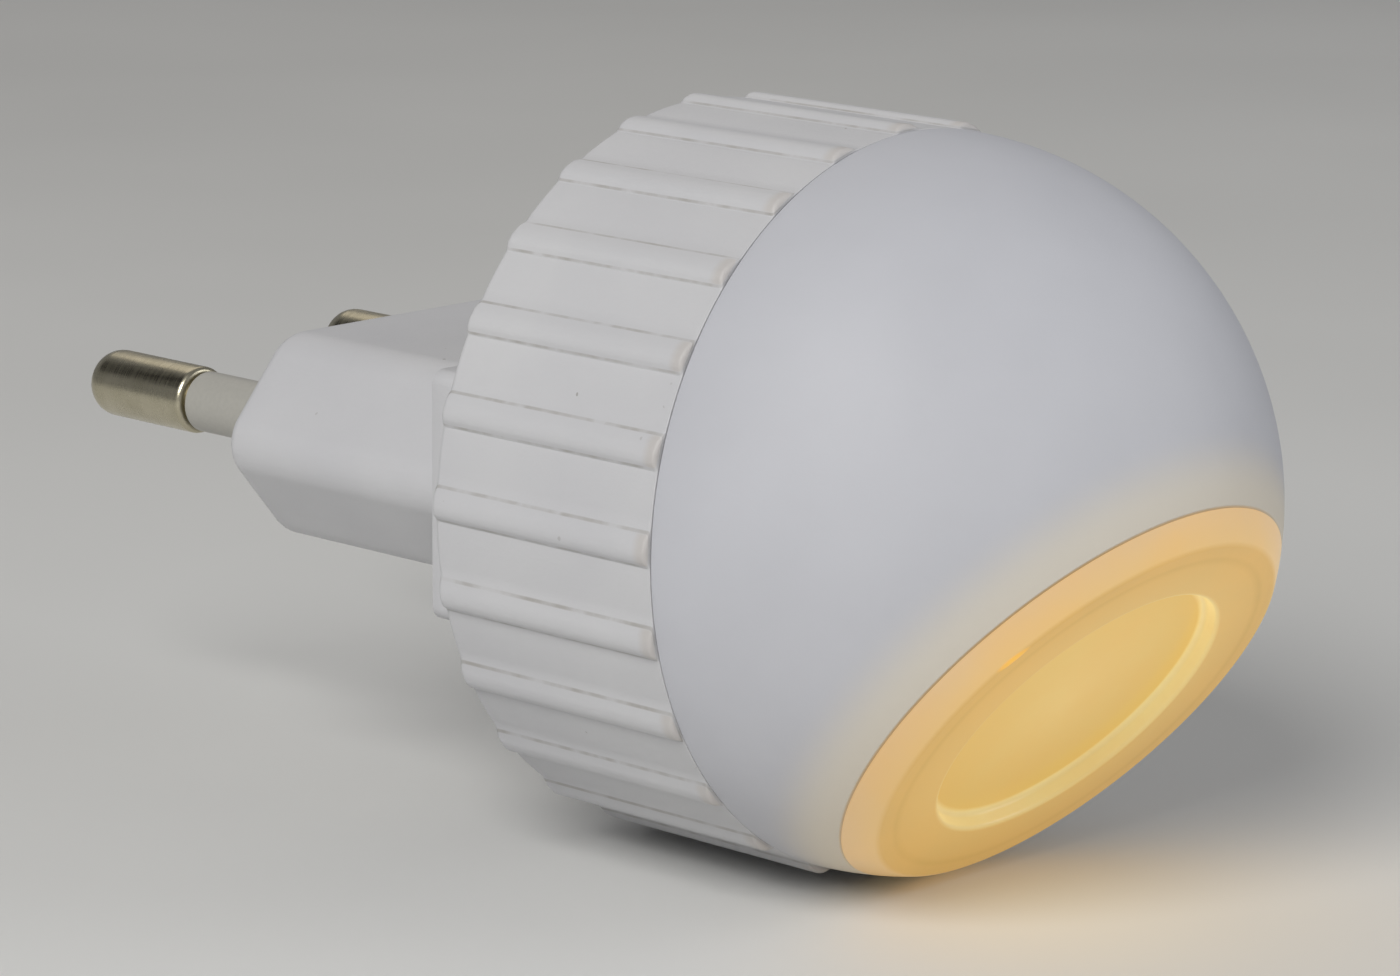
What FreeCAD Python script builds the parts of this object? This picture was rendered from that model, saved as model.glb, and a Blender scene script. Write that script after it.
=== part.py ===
import FreeCAD, Part
import math
import os
import re

import Sketcher

# Plug in night light: a six-sided plug body with two sleeved pins carries a round head.
# The head is a ribbed grip housing and a white dome, cut by a slanted plane that holds an amber lens.
# It turns about the plug's axis on the swivel hub, against a disc spring and between two stops.
#
# The origin is the middle of the engagement face, between the pins.
# +Y points into the wall along the pins, +Z is up, and depths are counted from the face towards -Y.

DOCUMENT = FreeCAD.newDocument("night_light")
SIZES = DOCUMENT.addObject("Spreadsheet::Sheet", "Sizes")

DRIVING_DIMENSIONS = [
    # Pins and sleeves
    ("pin_spacing", 19.0, "between the two pin axes"),
    ("pin_length", 19.0, "from the engagement face to the tip"),
    ("pin_radius", 2.0, "of the bare metal end"),
    ("pin_bare_length", 8.9, "of the bare metal end"),
    ("pin_nose_round", 1.6, "round of the tip"),
    ("pin_heel_bevel", 0.35, "bevel at the inner edge of the bare end"),
    ("pin_shank_radius", 1.45, "of the metal under the sleeve"),
    ("pin_shoulder_radius", 2.6, "of the shoulder behind the face wall"),
    ("pin_shoulder_thick", 1.2, "of that shoulder"),
    ("pin_tail_radius", 1.2, "of the tail that the lead is soldered to"),
    ("pin_tail_length", 4.6, "of the tail behind the shoulder"),
    ("sleeve_radius", 1.8, "outside of the insulating sleeve"),
    ("sleeve_groove", 0.3, "between the sleeve's end and the bare metal"),
    # Plug body
    ("plug_length", 18.0, "from the engagement face to the hub's flange"),
    ("plug_width", 33.6, "over the two rounded side edges"),
    ("plug_height", 11.9, "over the flats"),
    ("plug_side_slant", 50.0, "angle of the slanted sides"),
    ("plug_flat_round", 3.0, "where a flat meets a slanted side"),
    ("plug_side_round", 2.5, "of the two side edges"),
    ("plug_face_round", 0.9, "round the engagement face"),
    ("plug_wall", 1.8, "side walls"),
    ("face_wall", 2.4, "wall behind the engagement face"),
    ("clamp_thick", 2.4, "of the pin clamp"),
    ("clamp_boss_radius", 1.9, "of the clamp screws' bosses"),
    ("hub_post_radius", 2.2, "of the hub screws' posts, which stand in the side corners"),
    # Swivel hub
    ("flange_width", 35.3, "of the rectangular flange"),
    ("flange_height", 14.0, "of the rectangular flange"),
    ("flange_thick", 3.0, "of the rectangular flange"),
    ("flange_round", 0.8, "of the flange's corners"),
    ("hub_spigot", 2.0, "how far the hub reaches into the plug body"),
    ("neck_radius", 7.0, "of the journal that the head turns on"),
    ("neck_bore_radius", 3.8, "of the way for the leads"),
    ("spring_thick", 0.4, "of the disc spring"),
    ("spring_height", 1.0, "of the disc spring as fitted"),
    ("ring_overlap", 1.9, "how far the retaining ring reaches past the neck"),
    ("ring_thick", 1.2, "of the retaining ring"),
    ("ring_screw_radius", 5.4, "from the axis to the ring's screws"),
    ("tab_length", 1.7, "how far the stop tab reaches past the ring"),
    ("tab_width", 1.4, "of the stop tab and of the stop rib"),
    # Grip housing
    ("head_radius", 20.5, "of the grip between its ribs, and of the dome"),
    ("grip_length", 16.2, "of the grip housing"),
    ("grip_wall", 2.0, "round wall of the grip housing"),
    ("rear_wall", 2.2, "flat wall at the grip housing's back"),
    ("grip_bevel", 0.4, "at the grip housing's rear edge"),
    ("rib_count", 25, "ribs round the grip"),
    ("rib_width", 1.7, "of a rib at its foot"),
    ("rib_height", 0.42, "of a rib over the grip"),
    ("rib_phase", 2.0, "angle from the top to the first rib, towards -X"),
    ("rib_end_bevel", 0.45, "length of the bevel at a rib's ends"),
    ("board_standoff", 4.7, "posts between the rear wall and the driver board"),
    ("boss_radius", 2.1, "of the posts and bosses round the three housing screws"),
    ("boss_sink", 0.7, "how far a boss is sunk into the dome's spigot"),
    # Dome
    ("dome_set_back", 0.2, "how far the dome's centre lies inside the grip"),
    ("dome_wall", 1.8, "of the dome"),
    ("dome_spigot", 3.5, "how far the dome reaches into the grip"),
    ("dome_spigot_wall", 1.1, "of that spigot"),
    ("seam_gap", 0.15, "open line between the grip and the dome"),
    # Lens, in its own slanted frame
    ("lens_tilt", 38.0, "how far the lens looks down from level"),
    ("opening_radius", 14.7, "of the slanted opening in the dome"),
    ("lens_rise", 2.3, "from the lens's seat to its flat face"),
    ("lens_line", 0.2, "open line between the dome and the lens"),
    ("lens_edge_round", 0.9, "round the flat face"),
    ("lens_floor", 1.6, "thickness under the recess"),
    ("lens_skirt", 2.0, "how far the lens reaches into the collar"),
    ("lens_skirt_wall", 1.1, "of that skirt"),
    ("face_rim", 2.63, "width of the flat face round the recess"),
    ("recess_depth", 1.5, "of the round recess"),
    ("recess_round", 0.4, "round the mouth of the recess"),
    ("seat_width", 2.7, "from the opening's edge to the bore of the collar behind it"),
    ("collar_wall", 1.4, "of the collar"),
    ("ledge_width", 1.6, "of the ledge under the LED board"),
    ("ledge_thick", 1.2, "of the ledge under the LED board"),
    # Boards and what is on them
    ("board_thick", 1.6, "of the driver board"),
    ("board_gap", 0.5, "between the driver board and the grip's wall"),
    ("led_board_thick", 1.0, "of the LED board"),
    ("led_board_depth", 6.7, "from the lens's seat to the LED board's back"),
    ("led_ring_radius", 3.4, "from the lens's axis to each LED chip"),
    ("led_width", 2.8, "of an LED chip"),
    ("led_height", 1.1, "of an LED chip"),
    ("reflector_wall", 0.9, "of the reflector"),
    ("reflector_rim", 1.9, "width of the reflector's flat rim"),
    ("reflector_throat", 6.4, "radius of the reflector at the LED board"),
    ("film_cap_width", 13.0, "of the film capacitor"),
    ("film_cap_depth", 6.0, "of the film capacitor"),
    ("film_cap_height", 11.0, "of the film capacitor"),
    ("can_radius", 4.0, "of the smoothing capacitor"),
    ("can_height", 11.5, "of the smoothing capacitor"),
    ("rectifier_width", 4.8, "of the bridge rectifier"),
    ("rectifier_height", 2.5, "of the bridge rectifier"),
    ("fuse_length", 9.0, "of the fuse resistor's body"),
    ("fuse_radius", 1.7, "of the fuse resistor's body"),
    ("bleeder_length", 6.3, "of the bleed resistor's body"),
    ("bleeder_radius", 1.15, "of the bleed resistor's body"),
    ("wire_leg_radius", 0.3, "of a resistor's wire"),
    ("lead_radius", 0.75, "of the two mains leads"),
    ("led_lead_radius", 0.5, "of the two LED leads"),
    ("led_lead_spacing", 6.0, "between the two LED leads"),
    # Screws
    ("fine_screw_radius", 0.8, "clamp screws and ring screws"),
    ("screw_radius", 1.1, "hub screws and housing screws"),
    ("fine_screw_length", 2.6, "of the screws in the hub's neck"),
    ("clamp_screw_length", 5.0, "of the clamp screws"),
    ("housing_screw_length", 13.0, "of the housing screws"),
    # Clearances
    ("fit_gap", 0.1, "between pieces that are pushed together"),
    ("running_gap", 0.1, "flat faces that turn on each other"),
    ("bearing_gap", 0.06, "round the neck that the head turns on"),
]
for row, (alias, number, note) in enumerate(DRIVING_DIMENSIONS, start=1):
    SIZES.set(f"A{row}", note)
    SIZES.set(f"B{row}", str(number))
    SIZES.setAlias(f"B{row}", alias)
DOCUMENT.recompute()

ALIASES = {alias for alias, number, note in DRIVING_DIMENSIONS}

# Places that several pieces share, as sums of the driving dimensions.
SHARP_SIDE = "(plug_width / 2 + plug_side_round * (1 / sin(plug_side_slant) - 1))"
HUB_SCREW_X = f"({SHARP_SIDE} - plug_wall / sin(plug_side_slant) - 1.2 * hub_post_radius)"
CLAMP_SCREW_X = "(pin_spacing / 2 - pin_shoulder_radius - 1.5 * clamp_boss_radius)"
CAVITY_END = "(plug_length - hub_spigot)"
SHOULDER_FRONT = "(face_wall + pin_shoulder_thick)"
CLAMP_FRONT = f"({SHOULDER_FRONT} + clamp_thick)"
TAIL_END = f"({SHOULDER_FRONT} + pin_tail_length)"
POST_LENGTH = f"({CAVITY_END} - {TAIL_END} - 3 * lead_radius)"
HUB_FRONT = "(plug_length + flange_thick)"
HUB_SCREW_DEPTH = f"({HUB_FRONT} - screw_radius * 1.3 - fit_gap)"
HEAD_BACK = f"({HUB_FRONT} + running_gap)"
WALL_FRONT = f"({HEAD_BACK} + rear_wall)"
RING_BACK = f"({WALL_FRONT} + spring_height + 2 * running_gap)"
RING_FRONT = f"({RING_BACK} + ring_thick)"
BOARD_BACK = f"({WALL_FRONT} + board_standoff)"
BOARD_FRONT = f"({BOARD_BACK} + board_thick)"
GRIP_FRONT = f"({HEAD_BACK} + grip_length)"
GRIP_BORE = "(head_radius - grip_wall)"
DOME_CENTRE = f"({GRIP_FRONT} - dome_set_back)"
DOME_BACK = f"({GRIP_FRONT} + seam_gap)"
DOME_INNER = "(head_radius - dome_wall)"
LENS_SEAT = "(sqrt(head_radius ^ 2 - opening_radius ^ 2))"
LENS_FACE = f"({LENS_SEAT} + lens_rise)"
FACE_RADIUS = f"(sqrt(head_radius ^ 2 - {LENS_FACE} ^ 2))"
RECESS_RADIUS = f"({FACE_RADIUS} - face_rim)"
COLLAR_BORE = "(opening_radius - seat_width)"
LED_BOARD_BACK = f"({LENS_SEAT} - led_board_depth)"
SPIGOT_RADIUS = f"({GRIP_BORE} - fit_gap)"
SPIGOT_BORE = f"({SPIGOT_RADIUS} - dome_spigot_wall)"
SPIGOT_FRONT = f"({GRIP_FRONT} + dome_spigot_wall)"
BOSS_RING = f"({SPIGOT_BORE} - boss_radius + boss_sink)"
RING_RADIUS = "(neck_radius + ring_overlap)"
TAB_REACH = f"({RING_RADIUS} + tab_length)"
LED_BOARD_FRONT = f"({LED_BOARD_BACK} + led_board_thick)"
SKIRT_END = f"({LENS_SEAT} - lens_skirt)"
BOARD_SIZE = f"({GRIP_BORE} - board_gap)"
LED_BOARD_SIZE = f"({COLLAR_BORE} - fit_gap)"
BOSS_ANGLES = (90, 210, 330)
PIPE_VOLUME_TOLERANCE = 0.01


def cell(expression):
    """Put the sheet's name before each of its names in an expression."""
    return re.sub(r"[a-z_]+", lambda word: f"Sizes.{word[0]}" if word[0] in ALIASES else word[0], expression)


def value(expression):
    """The number that an expression gives now."""
    return float(SIZES.evalExpression(cell(expression)))


def add_body(label, depth=None, tilted=False):
    """A piece's own body; a tilted one is drawn about the dome's centre and looks along the lens."""
    body = DOCUMENT.addObject("PartDesign::Body", label)
    body.Label = label
    if tilted:
        body.Placement = FreeCAD.Placement(FreeCAD.Vector(), FreeCAD.Rotation(FreeCAD.Vector(1, 0, 0), 1))
        body.setExpression("Placement.Base.y", cell(f"-{DOME_CENTRE}"))
        body.setExpression("Placement.Rotation.Angle", cell("lens_tilt"))
    if depth:
        body.setExpression("Placement.Base.y", cell(f"-{depth}"))
    return body


def origin_feature(body, role):
    """One of the body's own planes or axes."""
    return next(feature for feature in body.Origin.OriginFeatures if feature.Role == role)


def radial_sketch(body, name):
    """A sketch of a turned outline: x is the radius, y runs along the axis."""
    sketch = body.newObject("Sketcher::SketchObject", name)
    sketch.AttachmentSupport = [(origin_feature(body, "XY_Plane"), "")]
    sketch.MapMode = "FlatFace"
    return sketch


def cross_sketch(body, name, depth="0"):
    """A sketch across the axis at a depth: x is +X, y is +Z, and its normal points to -Y."""
    sketch = body.newObject("Sketcher::SketchObject", name)
    sketch.AttachmentSupport = [(origin_feature(body, "XZ_Plane"), "")]
    sketch.MapMode = "FlatFace"
    sketch.setExpression("AttachmentOffset.Base.z", cell(depth))
    return sketch


def lens_sketch(body, name, distance):
    """A sketch across the lens's slanted axis, at a distance from the dome's centre."""
    sketch = cross_sketch(body, name, f"{DOME_CENTRE} + {distance} * cos(lens_tilt)")
    sketch.AttachmentOffset = FreeCAD.Placement(FreeCAD.Vector(), FreeCAD.Rotation(FreeCAD.Vector(1, 0, 0), 1))
    sketch.setExpression("AttachmentOffset.Base.y", cell(f"-{distance} * sin(lens_tilt)"))
    sketch.setExpression("AttachmentOffset.Rotation.Angle", cell("lens_tilt"))
    return sketch


def hold(sketch, kind, geometry, point, expression):
    """Bind one coordinate of a point to an expression."""
    if value(expression) == 0:
        axis = -2 if kind == "DistanceX" else -1
        sketch.addConstraint(Sketcher.Constraint("PointOnObject", geometry, point, axis))
        return
    index = sketch.addConstraint(Sketcher.Constraint(kind, -1, 1, geometry, point, value(expression)))
    sketch.setExpression(f"Constraints[{index}]", cell(expression))


def outline(sketch, points):
    """Draw a closed outline. A point is (x, y), or (x, y, arc centre x, arc centre y) before an arc."""
    places = [FreeCAD.Vector(value(point[0]), value(point[1]), 0) for point in points]
    ends = []
    for number, point in enumerate(points):
        start, finish = places[number], places[(number + 1) % len(points)]
        if len(point) == 2:
            ends.append((sketch.addGeometry(Part.LineSegment(start, finish)), 1, 2))
            continue
        centre = FreeCAD.Vector(value(point[2]), value(point[3]), 0)
        first, last = start - centre, finish - centre
        counter_clockwise = first.cross(last).z > 0
        if not counter_clockwise:
            first, last = last, first
        angles = math.atan2(first.y, first.x), math.atan2(last.y, last.x)
        circle = Part.Circle(centre, FreeCAD.Vector(0, 0, 1), first.Length)
        arc = sketch.addGeometry(Part.ArcOfCircle(circle, *angles))
        ends.append((arc, 1, 2) if counter_clockwise else (arc, 2, 1))
        hold(sketch, "DistanceX", arc, 3, point[2])
        hold(sketch, "DistanceY", arc, 3, point[3])
    for number, point in enumerate(points):
        geometry, start, _ = ends[number]
        before, _, finish = ends[number - 1]
        sketch.addConstraint(Sketcher.Constraint("Coincident", before, finish, geometry, start))
        previous = points[number - 1]
        if len(previous) == 2:
            hold(sketch, "DistanceX", geometry, start, point[0])
            hold(sketch, "DistanceY", geometry, start, point[1])
            continue
        # The arc already holds this point along one direction, so it is held across that alone.
        across = places[number] - FreeCAD.Vector(value(previous[2]), value(previous[3]), 0)
        if abs(across.y) > abs(across.x):
            hold(sketch, "DistanceX", geometry, start, point[0])
        else:
            hold(sketch, "DistanceY", geometry, start, point[1])


def circle(sketch, x, y, radius):
    """Draw a circle whose centre and radius are expressions."""
    centre = FreeCAD.Vector(value(x), value(y), 0)
    index = sketch.addGeometry(Part.Circle(centre, FreeCAD.Vector(0, 0, 1), value(radius)))
    hold(sketch, "DistanceX", index, 3, x)
    hold(sketch, "DistanceY", index, 3, y)
    constraint = sketch.addConstraint(Sketcher.Constraint("Radius", index, value(radius)))
    sketch.setExpression(f"Constraints[{constraint}]", cell(radius))


def rectangle(sketch, width, height, x="0", y="0"):
    """Draw a rectangle about a centre."""
    left, right = f"({x}) - ({width}) / 2", f"({x}) + ({width}) / 2"
    low, top = f"({y}) - ({height}) / 2", f"({y}) + ({height}) / 2"
    outline(sketch, [(left, low), (right, low), (right, top), (left, top)])


def hexagon(sketch, inset="0"):
    """Draw the plug's six-sided outline, moved in by an inset on every side."""
    top = f"(plug_height / 2 - {inset})"
    side = f"({SHARP_SIDE} - {inset} / sin(plug_side_slant))"
    flat = f"({side} - {top} / tan(plug_side_slant))"
    outline(sketch, [
        (side, "0"), (flat, top), (f"-{flat}", top),
        (f"-{side}", "0"), (f"-{flat}", f"-{top}"), (flat, f"-{top}"),
    ])


def extrude(body, sketch, name, length, towards_wall=False, cut=False):
    """Pad or pocket a sketch by a length, towards -Y unless it is sent towards the wall."""
    before = body.Tip.Shape.Volume if body.Tip else 0
    feature = body.newObject("PartDesign::Pocket" if cut else "PartDesign::Pad", name)
    feature.Profile = sketch
    feature.setExpression("Length", cell(length))
    feature.Reversed = (not towards_wall) if cut else towards_wall
    DOCUMENT.recompute()
    check_volume(feature, before, cut)
    return feature


def turn(body, sketch, name, cut=False):
    """Turn a radial sketch once round its axis, to add or to cut."""
    before = body.Tip.Shape.Volume if body.Tip else 0
    feature = body.newObject("PartDesign::Groove" if cut else "PartDesign::Revolution", name)
    feature.Profile = sketch
    feature.ReferenceAxis = (sketch, ["V_Axis"])
    feature.Angle = 360
    DOCUMENT.recompute()
    check_volume(feature, before, cut)
    return feature


def check_volume(feature, before, cut):
    """Stop where a feature changed nothing, or changed it the wrong way."""
    change = feature.Shape.Volume - before
    if change == 0 or (change < 0) != cut:
        raise RuntimeError(f"{feature.Label} changes the volume by {change:.3f}")


def round_edges(body, feature, name, radius, chosen):
    """Round the edges that a test picks out."""
    names = [f"Edge{number}" for number, edge in enumerate(feature.Shape.Edges, start=1) if chosen(edge)]
    if not names:
        raise RuntimeError(f"{name} finds no edge")
    fillet = body.newObject("PartDesign::Fillet", name)
    fillet.Base = (feature, names)
    fillet.setExpression("Radius", cell(radius))
    DOCUMENT.recompute()
    return fillet


def pattern_round(body, feature, name, count):
    """Repeat a feature evenly round the Y axis."""
    pattern = body.newObject("PartDesign::PolarPattern", name)
    pattern.Originals = [feature]
    pattern.Axis = (origin_feature(body, "Y_Axis"), [""])
    pattern.Angle = 360
    pattern.setExpression("Occurrences", cell(count))
    body.Tip = pattern
    DOCUMENT.recompute()
    return pattern


def along_axis(edge):
    """Whether an edge is straight and runs along Y."""
    ends = edge.Vertexes
    if len(ends) != 2:
        return False
    run = ends[1].Point - ends[0].Point
    return abs(run.y) > 0.999 * edge.Length


def lies_at(edge, depth):
    """Whether an edge lies across the axis at a depth."""
    box = edge.BoundBox
    return abs(box.YMin + value(depth)) < 0.01 and abs(box.YMax + value(depth)) < 0.01


def is_ring(edge, radius, offset):
    """Whether an edge is a full circle of a radius, at an offset along -Y in its body's own frame."""
    return (isinstance(edge.Curve, Part.Circle) and abs(edge.Curve.Radius - value(radius)) < 0.01
            and lies_at(edge, offset))


def make_plug_body():
    body = add_body("plug_body")
    section = cross_sketch(body, "plug_section")
    hexagon(section)
    block = extrude(body, section, "plug_block", "plug_length")
    side_radius = value(SHARP_SIDE)
    flats = round_edges(body, block, "flat_rounds", "plug_flat_round", lambda edge: (
        along_axis(edge) and abs(abs(edge.CenterOfMass.x) - side_radius) > 1))
    sides = round_edges(body, flats, "side_rounds", "plug_side_round", lambda edge: (
        along_axis(edge) and abs(abs(edge.CenterOfMass.x) - side_radius) < 0.1))
    round_edges(body, sides, "face_round", "plug_face_round", lambda edge: lies_at(edge, "0"))
    cavity = cross_sketch(body, "cavity_section", "face_wall")
    hexagon(cavity, "plug_wall")
    extrude(body, cavity, "cavity", "plug_length - face_wall", cut=True)
    for side, sign in (("left", "-"), ("right", "")):
        boss = cross_sketch(body, f"clamp_boss_section_{side}", "face_wall")
        circle(boss, f"{sign}{CLAMP_SCREW_X}", "0", "clamp_boss_radius")
        extrude(body, boss, f"clamp_boss_{side}", "pin_shoulder_thick - fit_gap")
        post = cross_sketch(body, f"hub_post_section_{side}", CAVITY_END)
        circle(post, f"{sign}{HUB_SCREW_X}", "0", "hub_post_radius")
        extrude(body, post, f"hub_post_{side}", POST_LENGTH, towards_wall=True)
        pilot = cross_sketch(body, f"clamp_pilot_section_{side}", f"{CLAMP_FRONT} - clamp_screw_length")
        circle(pilot, f"{sign}{CLAMP_SCREW_X}", "0", "fine_screw_radius")
        extrude(body, pilot, f"clamp_pilot_{side}", "clamp_screw_length", cut=True)
        pilot = cross_sketch(body, f"hub_pilot_section_{side}", CAVITY_END)
        circle(pilot, f"{sign}{HUB_SCREW_X}", "0", "screw_radius")
        extrude(body, pilot, f"hub_pilot_{side}", POST_LENGTH, towards_wall=True, cut=True)
        hole = cross_sketch(body, f"pin_hole_section_{side}")
        circle(hole, f"{sign}pin_spacing / 2", "0", "sleeve_radius")
        extrude(body, hole, f"pin_hole_{side}", "face_wall", cut=True)
    return body


def make_pin(side, sign):
    """A turned pin: rounded bare end, thinner shank under the sleeve, shoulder and soldering tail."""
    body = add_body(f"pin_{side}")
    body.setExpression("Placement.Base.x", cell(f"{sign}pin_spacing / 2"))
    profile = radial_sketch(body, "pin_profile")
    heel = "(pin_length - pin_bare_length)"
    nose = "(pin_length - pin_nose_round)"
    outline(profile, [
        ("0", f"-{TAIL_END}"),
        ("pin_tail_radius", f"-{TAIL_END}"),
        ("pin_tail_radius", f"-{SHOULDER_FRONT}"),
        ("pin_shoulder_radius", f"-{SHOULDER_FRONT}"),
        ("pin_shoulder_radius", "-face_wall"),
        ("pin_shank_radius", "-face_wall"),
        ("pin_shank_radius", heel),
        ("pin_radius - pin_heel_bevel", heel),
        ("pin_radius", f"{heel} + pin_heel_bevel"),
        ("pin_radius", nose, "pin_radius - pin_nose_round", nose),
        ("pin_radius - pin_nose_round", "pin_length"),
        ("0", "pin_length"),
    ])
    turn(body, profile, "pin_turned")
    return body


def make_pin_sleeve(side, sign):
    body = add_body(f"pin_sleeve_{side}")
    body.setExpression("Placement.Base.x", cell(f"{sign}pin_spacing / 2"))
    profile = radial_sketch(body, "sleeve_profile")
    end = "(pin_length - pin_bare_length - sleeve_groove)"
    outline(profile, [
        ("pin_shank_radius", "-face_wall"), ("sleeve_radius", "-face_wall"),
        ("sleeve_radius", end), ("pin_shank_radius", end),
    ])
    turn(body, profile, "sleeve_turned")
    return body


def make_pin_clamp():
    body = add_body("pin_clamp")
    section = cross_sketch(body, "clamp_section", SHOULDER_FRONT)
    hexagon(section, "(plug_wall + fit_gap)")
    for sign in ("", "-"):
        circle(section, f"{sign}pin_spacing / 2", "0", "pin_tail_radius + fit_gap")
        circle(section, f"{sign}{CLAMP_SCREW_X}", "0", "fine_screw_radius + fit_gap")
    extrude(body, section, "clamp_plate", "clamp_thick")
    return body


def make_swivel_hub():
    """Flange, spigot for the plug body and the neck that the head turns on, with a bore for the leads."""
    body = add_body("swivel_hub")
    flange = cross_sketch(body, "flange_section", "plug_length")
    rectangle(flange, "flange_width", "flange_height")
    plate = extrude(body, flange, "flange", "flange_thick")
    round_edges(body, plate, "flange_rounds", "flange_round", along_axis)
    spigot = cross_sketch(body, "spigot_section", "plug_length")
    hexagon(spigot, "(plug_wall + fit_gap)")
    extrude(body, spigot, "spigot", "hub_spigot", towards_wall=True)
    neck = cross_sketch(body, "neck_section", HUB_FRONT)
    circle(neck, "0", "0", "neck_radius")
    extrude(body, neck, "neck", f"{RING_BACK} - {HUB_FRONT}")
    bore = cross_sketch(body, "bore_section", CAVITY_END)
    circle(bore, "0", "0", "neck_bore_radius")
    extrude(body, bore, "bore", f"{RING_BACK} - {CAVITY_END}", cut=True)
    for side, sign in (("left", "-"), ("right", "")):
        hole = cross_sketch(body, f"hub_hole_section_{side}", CAVITY_END)
        circle(hole, f"{sign}{HUB_SCREW_X}", "0", "screw_radius + fit_gap")
        extrude(body, hole, f"hub_hole_{side}", f"{HUB_FRONT} - {CAVITY_END}", cut=True)
        seat = cross_sketch(body, f"hub_seat_section_{side}", HUB_FRONT)
        circle(seat, f"{sign}{HUB_SCREW_X}", "0", "screw_radius * 2 + fit_gap")
        extrude(body, seat, f"hub_seat_{side}", "screw_radius * 1.3 + fit_gap", towards_wall=True, cut=True)
        pilot = cross_sketch(body, f"ring_pilot_section_{side}", RING_BACK)
        circle(pilot, f"{sign}ring_screw_radius", "0", "fine_screw_radius")
        extrude(body, pilot, f"ring_pilot_{side}", "fine_screw_length", towards_wall=True, cut=True)
    return body


def make_retaining_ring():
    """The ring that keeps the head on the hub; its tab meets the housing's rib at both ends of the turn."""
    body = add_body("retaining_ring")
    section = cross_sketch(body, "ring_section", RING_BACK)
    circle(section, "0", "0", RING_RADIUS)
    circle(section, "0", "0", "neck_bore_radius")
    for sign in ("", "-"):
        circle(section, f"{sign}ring_screw_radius", "0", "fine_screw_radius + fit_gap")
    extrude(body, section, "ring_plate", "ring_thick")
    tab = cross_sketch(body, "tab_section", RING_BACK)
    rectangle(tab, "tab_width", f"{TAB_REACH} - neck_radius", y=f"-({TAB_REACH} + neck_radius) / 2")
    extrude(body, tab, "tab", "ring_thick")
    return body


def make_disc_spring():
    """A shallow cone between the housing's rear wall and the retaining ring."""
    body = add_body("disc_spring")
    profile = radial_sketch(body, "spring_profile")
    inner = "(neck_radius + fit_gap)"
    back = f"({WALL_FRONT} + running_gap)"
    outline(profile, [
        (inner, f"-({back} + spring_height - spring_thick)"), (RING_RADIUS, f"-{back}"),
        (RING_RADIUS, f"-({back} + spring_thick)"), (inner, f"-({back} + spring_height)"),
    ])
    turn(body, profile, "spring_turned")
    return body


def boss_place(angle):
    """Where the housing screw at an angle from +X stands, as a pair of expressions."""
    return f"{BOSS_RING} * cos({angle})", f"{BOSS_RING} * sin({angle})"


def make_grip_housing():
    """The ribbed cup: bearing hole and stop rib in its rear wall, three posts for the driver board."""
    body = add_body("grip_housing")
    profile = radial_sketch(body, "cup_profile")
    outline(profile, [
        ("neck_radius + bearing_gap", f"-{HEAD_BACK}"),
        ("head_radius - grip_bevel", f"-{HEAD_BACK}"),
        ("head_radius", f"-({HEAD_BACK} + grip_bevel)"),
        ("head_radius", f"-{GRIP_FRONT}"),
        (GRIP_BORE, f"-{GRIP_FRONT}"),
        (GRIP_BORE, f"-{WALL_FRONT}"),
        ("neck_radius + bearing_gap", f"-{WALL_FRONT}"),
    ])
    turn(body, profile, "cup")
    rib = cross_sketch(body, "rib_section", f"{HEAD_BACK} + grip_bevel")
    rib.AttachmentOffset = FreeCAD.Placement(FreeCAD.Vector(), FreeCAD.Rotation(FreeCAD.Vector(0, 0, 1), -1))
    rib.setExpression("AttachmentOffset.Rotation.Angle", cell("rib_phase"))
    foot = "sqrt(head_radius ^ 2 - rib_width ^ 2 / 4)"
    crown = "((rib_width ^ 2 / 4 + rib_height ^ 2) / (2 * rib_height))"
    centre = f"(head_radius + rib_height - {crown})"
    side = f"(sqrt({crown} ^ 2 - (head_radius - {centre}) ^ 2))"
    outline(rib, [
        (side, "head_radius", "0", centre),
        (f"-{side}", "head_radius"),
        (f"-{side}", f"{foot} - rib_height"),
        (side, f"{foot} - rib_height"),
    ])
    first = extrude(body, rib, "first_rib", "grip_length - grip_bevel")
    pattern_round(body, first, "ribs", "rib_count")
    for name, depth, sign in (("rear", f"({HEAD_BACK} + grip_bevel)", "+"), ("front", GRIP_FRONT, "-")):
        bevel = radial_sketch(body, f"{name}_bevel_profile")
        outline(bevel, [
            ("head_radius", f"-{depth}"),
            ("head_radius + 2 * rib_height", f"-({depth} {sign} 2 * rib_end_bevel)"),
            ("head_radius + 2 * rib_height", f"-{depth}"),
        ])
        turn(body, bevel, f"{name}_bevel", cut=True)
    for angle in BOSS_ANGLES:
        post = cross_sketch(body, f"post_section_{angle}", WALL_FRONT)
        circle(post, *boss_place(angle), "boss_radius")
        extrude(body, post, f"post_{angle}", "board_standoff")
        hole = cross_sketch(body, f"screw_hole_section_{angle}", HEAD_BACK)
        circle(hole, *boss_place(angle), "screw_radius + fit_gap")
        extrude(body, hole, f"screw_hole_{angle}", f"{BOARD_BACK} - {HEAD_BACK}", cut=True)
        seat = cross_sketch(body, f"screw_seat_section_{angle}", HEAD_BACK)
        circle(seat, *boss_place(angle), "screw_radius * 2 + fit_gap")
        extrude(body, seat, f"screw_seat_{angle}", "screw_radius * 1.3 + fit_gap", cut=True)
    stop = cross_sketch(body, "stop_rib_section", WALL_FRONT)
    rectangle(stop, "tab_width", "tab_length", y=f"({TAB_REACH} + {RING_RADIUS}) / 2 + 3 * fit_gap")
    extrude(body, stop, "stop_rib", f"{RING_FRONT} - {WALL_FRONT}")
    return body


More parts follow.
